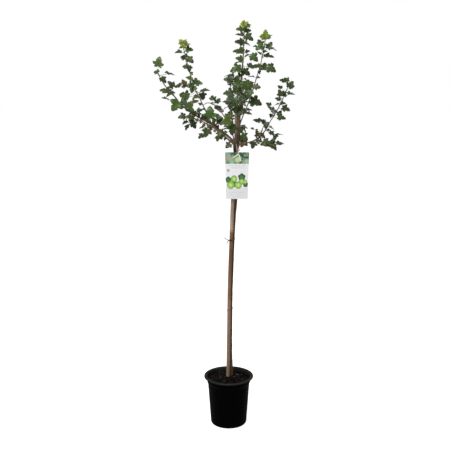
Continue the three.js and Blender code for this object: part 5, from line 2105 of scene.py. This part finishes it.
    def buds(self, shoot: Shoot, at: dict[str, Array]) -> Patch:
        """A small pointed bud above the foot of every leaf.

        Formula: an egg on the stem's skin, 1.6 mm up, stretched along its way plus 0.7 of the way out.

        Args:
            shoot: The stem.
            at: Where its leaves stand.

        Returns:
            The patch.
        """
        out = at["leave"]
        way = shoot.line().way(at["along"])
        side = unit(np.cross(way, out))
        square = np.cross(side, way)
        lean = unit(way + 0.7 * square)
        places = at["foot"] + square * shoot.radius(at["along"])[:, None] + way * 1.6 * MM
        deep = np.cross(side, lean)
        axes = np.stack([side * 0.9, deep * 0.9, lean * 2.2], 1) * MM
        marks = np.broadcast_to(np.array([0.45, 0.1, 0]), (len(places), 3))
        return repeat(egg(2, 5), places, axes, marks)

    def thorns(self, shoot: Shoot, at: dict[str, Array]) -> list[Patch]:
        """The thorns: a few between the leaves, and one to three under the foot of every leaf older than
        0.15.

        Formula: thorn i stands i and half a draw of even steps up the shoot, at a drawn angle, and its
        twin 1.9 radians on. Those of a leaf stand 1.25 radians apart.

        Args:
            shoot: The stem.
            at: Where its leaves stand.

        Returns:
            The patches.
        """
        line = shoot.line()
        length = line.length()
        count = int((0.97 - shoot.joint) * length / (self.spine_spacing * MM))
        i = np.arange(count)
        place = i + 0.5 * draw(shoot.seed, Series.THORN_PLACE + i)
        along = shoot.joint + 0.05 + (0.92 - shoot.joint) * place / count
        twin = draw(shoot.seed, Series.THORN_TWIN + i) < self.twin_share
        made = []
        for k in (0, 1):
            some = i[twin] if k else i
            turn = 2 * np.pi * draw(shoot.seed, Series.THORN_TURN + some) + 1.9 * k
            share = draw(shoot.seed, Series.THORN_LENGTH + 2 * some + k)
            long = self.spine_length * MM * (0.75 + 0.5 * share)
            made.append(self.thorns_at(shoot, along[some], turn, long).wearing(THORNS))
        feet = np.arange(len(at["along"]))
        for k in range(3):
            chosen = feet[(draw(shoot.seed, Series.FOOT_THORN + feet) > 0.3 * k) & (at["age"][:, 0] > 0.15)]
            turn = 2 * np.pi * draw(shoot.seed, Series.FOOT_THORN_TURN + chosen) + 1.25 * (k - 1)
            long = MM * (4.0 + 4.5 * draw(shoot.seed, Series.FOOT_THORN_LENGTH + 3 * chosen + k))
            thorns = self.thorns_at(shoot, at["along"][chosen] - 0.004, turn, long)
            made.append(thorns.wearing(THORNS))
        return made

    def thorns_at(self, shoot: Shoot, along: Array, turn: Array, long: Array) -> Patch:
        """Thorns as slim cones that hook a little towards their points.

        Formula: rings at four shares of the reach, with radii that fall fast from the foot, on a line that
        bends by 0.09 of the reach.

        Args:
            shoot: The stem.
            along: Shares along it, one for each thorn.
            turn: How far each is turned round the stem, from the across direction.
            long: How far each stands out of the wood, in metres.

        Returns:
            The patch.
        """
        way = shoot.line().way(along)
        across = unit(np.cross(Y_AXIS, way))
        out = across * np.cos(turn)[:, None] + np.cross(way, across) * np.sin(turn)[:, None]
        out = unit(out + 0.25 * way)[:, None]
        reach = (long + shoot.radius(along))[:, None, None]
        foot = self.spine_radius * MM * (0.6 + 0.4 * long / (self.spine_length * MM))
        reference = -(Z_AXIS + 0.01 * X_AXIS)
        hook = np.cross(out, unit(np.cross(reference, out)))
        share = np.array([0.0, 0.28, 0.5, 0.78, 1.0])[:, None]
        line = shoot.line().at(along)[:, None] + (out * share + self.spine_hook * hook * share**2) * reach
        taper = np.array([1.0, 0.62, 0.42, 0.2])[:, None]
        wide = np.repeat(foot[:, None, None] * taper, self.spine_sides, -1)
        ways = np.broadcast_to(out, line[:, :-1].shape)
        made = sweep(line[:, :-1], ways, wide, wide, reference, share[:-1] * X_AXIS)
        tip = (len(share) - 1) * self.spine_sides + 1
        made.points[tip :: tip + 1] = line[:, -1]
        made.mark[tip :: tip + 1] = X_AXIS
        return made

    def feet(self, parent: str, collar: float) -> list[Patch]:
        """The feet of the stems that grow from a parent, each with a collar in millimetres."""
        children = [child for child in SHOOTS.values() if child.parent == parent]
        return [self.wood(child, 0.0, child.joint, collar) for child in children]

    def grow(self, name: str, materials: Sequence[Material]) -> None:
        """Makes one leafy stem, with the feet of the stems that grow from it.

        Args:
            name: The stem's name, which is its CAD node's.
            materials: Bark, blade and thorn.
        """
        shoot = SHOOTS[name]
        at = self.frames(shoot)
        wood = [self.wood(shoot, shoot.joint - 0.008, 1.0, 0.25), *self.feet(name, 0)]
        green = [patch.wearing(BLADES) for patch in (self.blades(shoot, at), self.petioles(at))]
        patches = [*wood, self.buds(shoot, at), *green, *self.thorns(shoot, at)]
        deliver(build(f"{name}_branch", materials, patches), name)

    def grow_trunk(self, trunk: Trunk, bark: Material) -> None:
        """Makes the bare stem, with the feet of the stems that grow from its head."""
        patches = [trunk.bole(), trunk.buds(), *self.feet("trunk", 0.8)]
        deliver(build("rootstock_stem", [bark], patches), "trunk")


# ---- label and ties


@dataclass
class CardLabel:
    """A hanging card with rounded corners and a punched hole. Sizes are in millimetres."""

    top_width: float = 87
    bottom_width: float = 80
    height: float = 172.5
    thickness: float = 0.8
    corner: float = 4
    centre: Vec = (29.5, -24.5, 1058)  # middle of the top edge, front face
    lean: float = 2.3
    bow: float = 1.3
    curl: float = 0.9
    hole: Vec = (4.5, -6.0, 3.0)  # place across, place up, radius

    def outline(self) -> Array:
        """The card's outline, anticlockwise from the front: four corner arcs joined by straight edges.

        Returns:
            Places across and up.
        """
        top, foot, low, r = self.top_width / 2, self.bottom_width / 2, -self.height, self.corner
        corners = ((top, 0, 0), (-top, 0, 90), (-foot, low, 180), (foot, low, 270))
        steps = (10, 22, 10, 22)
        rows = []
        arcs = []
        for x, y, start in corners:
            turn = np.radians(start + np.linspace(0, 90, 7))
            middle = np.array([x - math.copysign(r, x), y - r if y == 0 else y + r])
            arcs.append(middle + r * join(np.cos(turn), np.sin(turn)))
        for index, arc in enumerate(arcs):
            after = arcs[(index + 1) % 4][0]
            share = np.linspace(0, 1, steps[index] + 1)[1:-1, None]
            rows += [arc, arc[-1] + (after - arc[-1]) * share]
        return np.vstack(rows)

    def card(self) -> Patch:
        """The card's body.

        Formula: rings of points run from the hole to the outline on the front, and back to the hole on the
        back. The card bows back towards its long edges and curls a little along its height.

        Returns:
            The patch.
        """
        edge = self.outline()
        hole = np.array(self.hole[:2])
        inner = hole + unit(edge - hole) * self.hole[2]
        shares = np.array([0.0, 0.03, 0.12, 0.25, 0.4, 0.55, 0.7, 0.85, 0.97, 1.0])
        front = inner[None] + (edge - inner)[None] * shares[:, None, None]
        flat = np.concatenate([front, front[::-1]])
        depth = np.repeat([0.0, -self.thickness], len(shares))[:, None]
        x, y = flat[..., 0], flat[..., 1]
        bow = -self.bow * (x / 43) ** 2 + self.curl * np.sin(-y / self.height * 2 * np.pi)
        z = bow + depth
        tilt = math.radians(90 + self.lean)
        up = np.array([0, math.cos(tilt), math.sin(tilt)])
        ahead = np.array([0, -math.sin(tilt), math.cos(tilt)])
        points = (np.array(self.centre) + join(x, y, z) @ np.array([X_AXIS, up, ahead])) * MM
        down = -y / self.height
        width = self.top_width + (self.bottom_width - self.top_width) * down
        side = np.repeat([1.0, 0.0], len(shares))[:, None] + 0 * x
        flow = join(x / width, down, side)
        return bodies(points.reshape(1, -1, 3), tube_faces(*x.shape, closed=True), flow, 0 * flow)

    def dress(self, finish: Material) -> None:
        """Makes the card, with crisp edges.

        Args:
            finish: The printed card.
        """
        made = build("hanging_label", [finish], [self.card()])
        made.data.set_sharp_from_angle(angle=math.radians(40))
        deliver(made, "label")


@dataclass
class LabelStrap:
    """The strap that holds the label: a loop round the stem and cane, a knot and two ends."""

    loop: Vecs = (
        (34, -27.4, 1050), (34, -24.4, 1052), (32.8, -22, 1051), (27.5, -21.5, 1048.5), (21, -21, 1047),
        (15, -17, 1047), (12, -4, 1049), (16, 10, 1053), (26, 16.6, 1057), (35.5, 11, 1061), (39.5, -4, 1065),
        (38, -16, 1067), (35, -24.5, 1064.5), (34, -28, 1057.5),
    )
    ends: tuple[Vecs, ...] = (
        ((33, -27.6, 1050), (25, -28.2, 1045), (14, -27.4, 1037)),
        ((35, -27.6, 1051), (40, -28.2, 1041), (43, -27.4, 1026)),
    )
    knot: Vec = (34, -28.0, 1050.5)
    half_width: float = 2.2
    half_thickness: float = 0.6
    knot_size: Vec = (0.85, 0.7, 0.85)
    cord: float = 0.85  # radius of the knotted strap
    loop_rings: int = 72
    knot_rings: int = 60
    end_rings: int = 20
    sides: int = 8

    def ribbon(self, path: Path, shares: Array, reference: Array, flat_over: bool) -> Patch:
        """A flat ribbon along a path: an oval section whose width wavers by a tenth.

        Args:
            path: The line.
            shares: The places of its rings.
            reference: A direction that the path never follows.
            flat_over: Whether the wide way is over.

        Returns:
            The patch.
        """
        waver = 1 + 0.1 * np.sin(shares * 41)
        wide = np.repeat((self.half_width * MM * waver)[:, None], self.sides, 1)
        thin = np.repeat((self.half_thickness * MM * waver)[:, None], self.sides, 1)
        across, over = (thin, wide) if flat_over else (wide, thin)
        line = path.at(shares)
        return sweep(line, path.way(shares), across, over, reference, 0 * line, path.closed)

    def knot_line(self, share: Array) -> Array:
        """A simple overhand knot: the trefoil curve, sin t + 2 sin 2t, cos t - 2 cos 2t and -sin 3t.

        Args:
            share: Shares from 0 to 1.

        Returns:
            One place for every share.
        """
        t = share * 2 * np.pi
        line = join(np.sin(t) + 2 * np.sin(2 * t), -np.sin(3 * t), np.cos(t) - 2 * np.cos(2 * t))
        return (np.array(self.knot) + line * self.knot_size) * MM

    def dress(self, finish: Material) -> None:
        """Makes the strap.

        Args:
            finish: The fibre.
        """
        count = self.loop_rings
        loop = self.ribbon(Path(self.loop, True), np.arange(count) / count, Z_AXIS, True)
        shares = np.linspace(0, 1, self.end_rings)
        ends = [self.ribbon(Path(end), shares, Y_AXIS, False) for end in self.ends]
        shares = np.arange(self.knot_rings) / self.knot_rings
        ahead = self.knot_line(shares + 1e-3) - self.knot_line(shares - 1e-3)
        radii = np.full((self.knot_rings, self.sides), self.cord * MM)
        reference = unit(np.array([0.2, 1, 0.1]))
        line = self.knot_line(shares)
        knot = sweep(line, unit(ahead), radii, radii, reference, 0 * line, True)
        deliver(build("label_tie", [finish], [loop, *ends, knot]), "label_strap")


@dataclass
class WireTie:
    """Soft wire drawn once round the stem and the cane and twisted. Sizes are in millimetres."""

    trunk: Trunk
    cane: Cane
    height: float = 727
    radius: float = 1
    clearance: float = 0.6
    wire: float = 1.25  # radius of the coated wire
    # the two ends, from the middle of the cane
    ends: tuple[Vecs, ...] = (
        ((-8.5, -8, 0.4), (-13, -9, 2.2), (-18.5, -10.5, 5), (-26.5, -10.5, 11)),
        ((-8.5, -8.2, -0.4), (-11.5, -10, -2), (-14, -11.3, -6), (-17, -11.5, -13)),
    )
    turns: float = 1.75
    twist: tuple[float, float] = (8.5, 8)  # how long the twist is, and how far in front of the cane
    loop_rings: int = 64
    end_rings: int = 70

    def loop(self, behind: Array, front: Array) -> Path:
        """The closed loop: half a turn round the stem and half a turn round the cane.

        Args:
            behind: The stem's middle there.
            front: The cane's middle there.

        Returns:
            The line.
        """
        turn = math.atan2(behind[1] - front[1], behind[0] - front[0])
        angle = turn + np.radians([-90, -54, -18, 18, 54, 90])
        rows = []
        heights = np.array([self.height * MM])
        for centre, radius, angles in (
            (behind, self.trunk.radius(heights)[0], angle),
            (front, self.cane.radius(heights)[0], angle + np.pi),
        ):
            reach = radius / MM + self.clearance + self.radius
            places = np.array([*centre[:2], self.height]) + 0 * angles[:, None]
            rows.append(places + join(reach * np.cos(angles), reach * np.sin(angles), 1.5 * np.cos(angles)))
        return Path(np.vstack(rows), True)

    def dress(self, finish: Material) -> None:
        """Makes the tie: the loop, and two strands that twist round each other before they part.

        Args:
            finish: The coated wire.
        """
        at = np.array([self.height * MM])
        behind = self.trunk.path.at(self.trunk.path.share_at(at))[0] / MM
        front = self.cane.path.at(self.cane.path.share_at(at))[0] / MM
        shares = np.arange(self.loop_rings) / self.loop_rings
        patches = [round_sweep(self.loop(behind, front), shares, self.wire * MM, 10, Z_AXIS)]
        shares = np.linspace(0, 1, self.end_rings)
        radii = np.full(self.end_rings, self.wire * MM)
        radii[-1] *= 0.8
        long, ahead = self.twist
        for index, end in enumerate(self.ends):
            share = np.linspace(0, 1, 15)[:-1]
            turn = (2 * self.turns * share + index) * np.pi
            twist = join(-long * share, self.wire * np.cos(turn) - ahead, self.wire * np.sin(turn))
            rows = np.vstack([twist, np.array(end)]) + [front[0], front[1], self.height]
            patches.append(round_sweep(Path(rows), shares, radii, 8, unit(np.array([0.05, 0.1, 1.0]))))
        deliver(build("wire_tie_coil", [finish], patches), "wire_tie")


# ---- studio


@dataclass
class Studio:
    """A plain pale floor, soft light and the camera."""

    camera_place: Vec = (-0.0144, -2.70, 1.29)
    pitch: float = 10.6  # degrees down
    lens: float = 58.83
    floor_reach: float = 40.0
    floor_colour: Colour = (0.85, 0.85, 0.85)
    backdrop: float = 1.0  # how bright the sky looks
    sky: float = 0.42  # how much light it gives
    floor_glow: float = 0.66  # what the floor adds in the camera's eye, so that it stays pale

    def floor(self) -> None:
        """A large plain floor just under the pot."""
        reach = self.floor_reach
        mesh = bpy.data.meshes.new("floor")
        corners = [(-reach, -reach, 0), (reach, -reach, 0), (reach, reach, 0), (-reach, reach, 0)]
        mesh.from_pydata(corners, [], [(0, 1, 2, 3)])
        board = Coat("floor")
        board.inputs["Base Color"].default_value = (*self.floor_colour, 1)
        board.inputs["Roughness"].default_value = 0.9
        board.inputs["Specular IOR Level"].default_value = 0.1
        board.inputs["Emission Color"].default_value = (1, 1, 1, 1)
        seen = board.node("LightPath").outputs["Is Camera Ray"]
        board.feed(board.inputs["Emission Strength"], board.times(seen, self.floor_glow))
        mesh.materials.append(board.material)
        placed("floor", mesh)

    def lamp(self, name: str, place: Vec, target: Vec, size: float, power: float) -> None:
        """A square area light that faces a target.

        Args:
            name: The lamp's name.
            place: Where it stands.
            target: Where it points.
            size: The length of its side.
            power: Its power, in watts.
        """
        light = bpy.data.lights.new(name, "AREA")
        light.shape = "SQUARE"
        light.size = size
        light.energy = power
        made = placed(name, light)
        made.location = place
        way = np.array(target) - np.array(place)
        yaw = math.atan2(way[1], way[0]) - math.pi / 2
        pitch = math.atan2(way[2], math.hypot(way[0], way[1])) + math.pi / 2
        made.rotation_euler = (pitch, 0, yaw)

    def camera(self) -> None:
        """The camera, level from side to side."""
        data = bpy.data.cameras.new("camera")
        data.lens = self.lens
        data.sensor_width = 36
        data.clip_end = 200
        made = placed("camera", data)
        made.location = self.camera_place
        made.rotation_euler = (math.radians(90 - self.pitch), 0, 0)
        bpy.context.scene.camera = made

    def build(self) -> None:
        """Sets up the floor, the sky, the lamps and the camera."""
        scene = bpy.context.scene
        scene.view_settings.view_transform = "Standard"
        world = bpy.data.worlds.new("studio")
        scene.world = world
        world.use_nodes = True
        board = Board(world.node_tree)
        back = world.node_tree.nodes["Background"]
        back.inputs[0].default_value = (1, 1, 1, 1)
        seen = board.node("LightPath").outputs["Is Camera Ray"]
        board.feed(back.inputs[1], board.spread(seen, 0, 1, (self.sky, self.backdrop)))
        self.floor()
        self.lamp("key", (-1.6, -2.4, 3.6), (0, 0, 1.1), 1.6, 142)
        self.lamp("rim", (2.6, 2.2, 2.8), (0, 0, 1.1), 1.4, 40)
        self.camera()


def main() -> None:
    """Builds every sub-assembly in order."""
    logging.basicConfig(level=logging.INFO, format="%(name)s: %(message)s")
    effects = Effects()
    bark = BarkFinish().make(effects)
    blade = BladeFinish().make(effects)
    thorn = ThornFinish().make(effects)
    Studio().build()
    pot = NurseryPot()
    pot.dress(PotFinish().make(effects))
    Compost(pot).dress(CompostFinish().make(effects), ChipFinish().make(effects))
    foliage = Foliage()
    trunk = Trunk()
    foliage.grow_trunk(trunk, bark)
    cane = Cane()
    cane.dress(BambooFinish().make(effects))
    for name in SHOOTS:
        foliage.grow(name, [bark, blade, thorn])
    WireTie(trunk, cane).dress(WireFinish().make(effects))
    CardLabel().dress(CardFinish().make(effects))
    LabelStrap().dress(StrapFinish().make(effects))


if __name__ == "__main__":
    main()
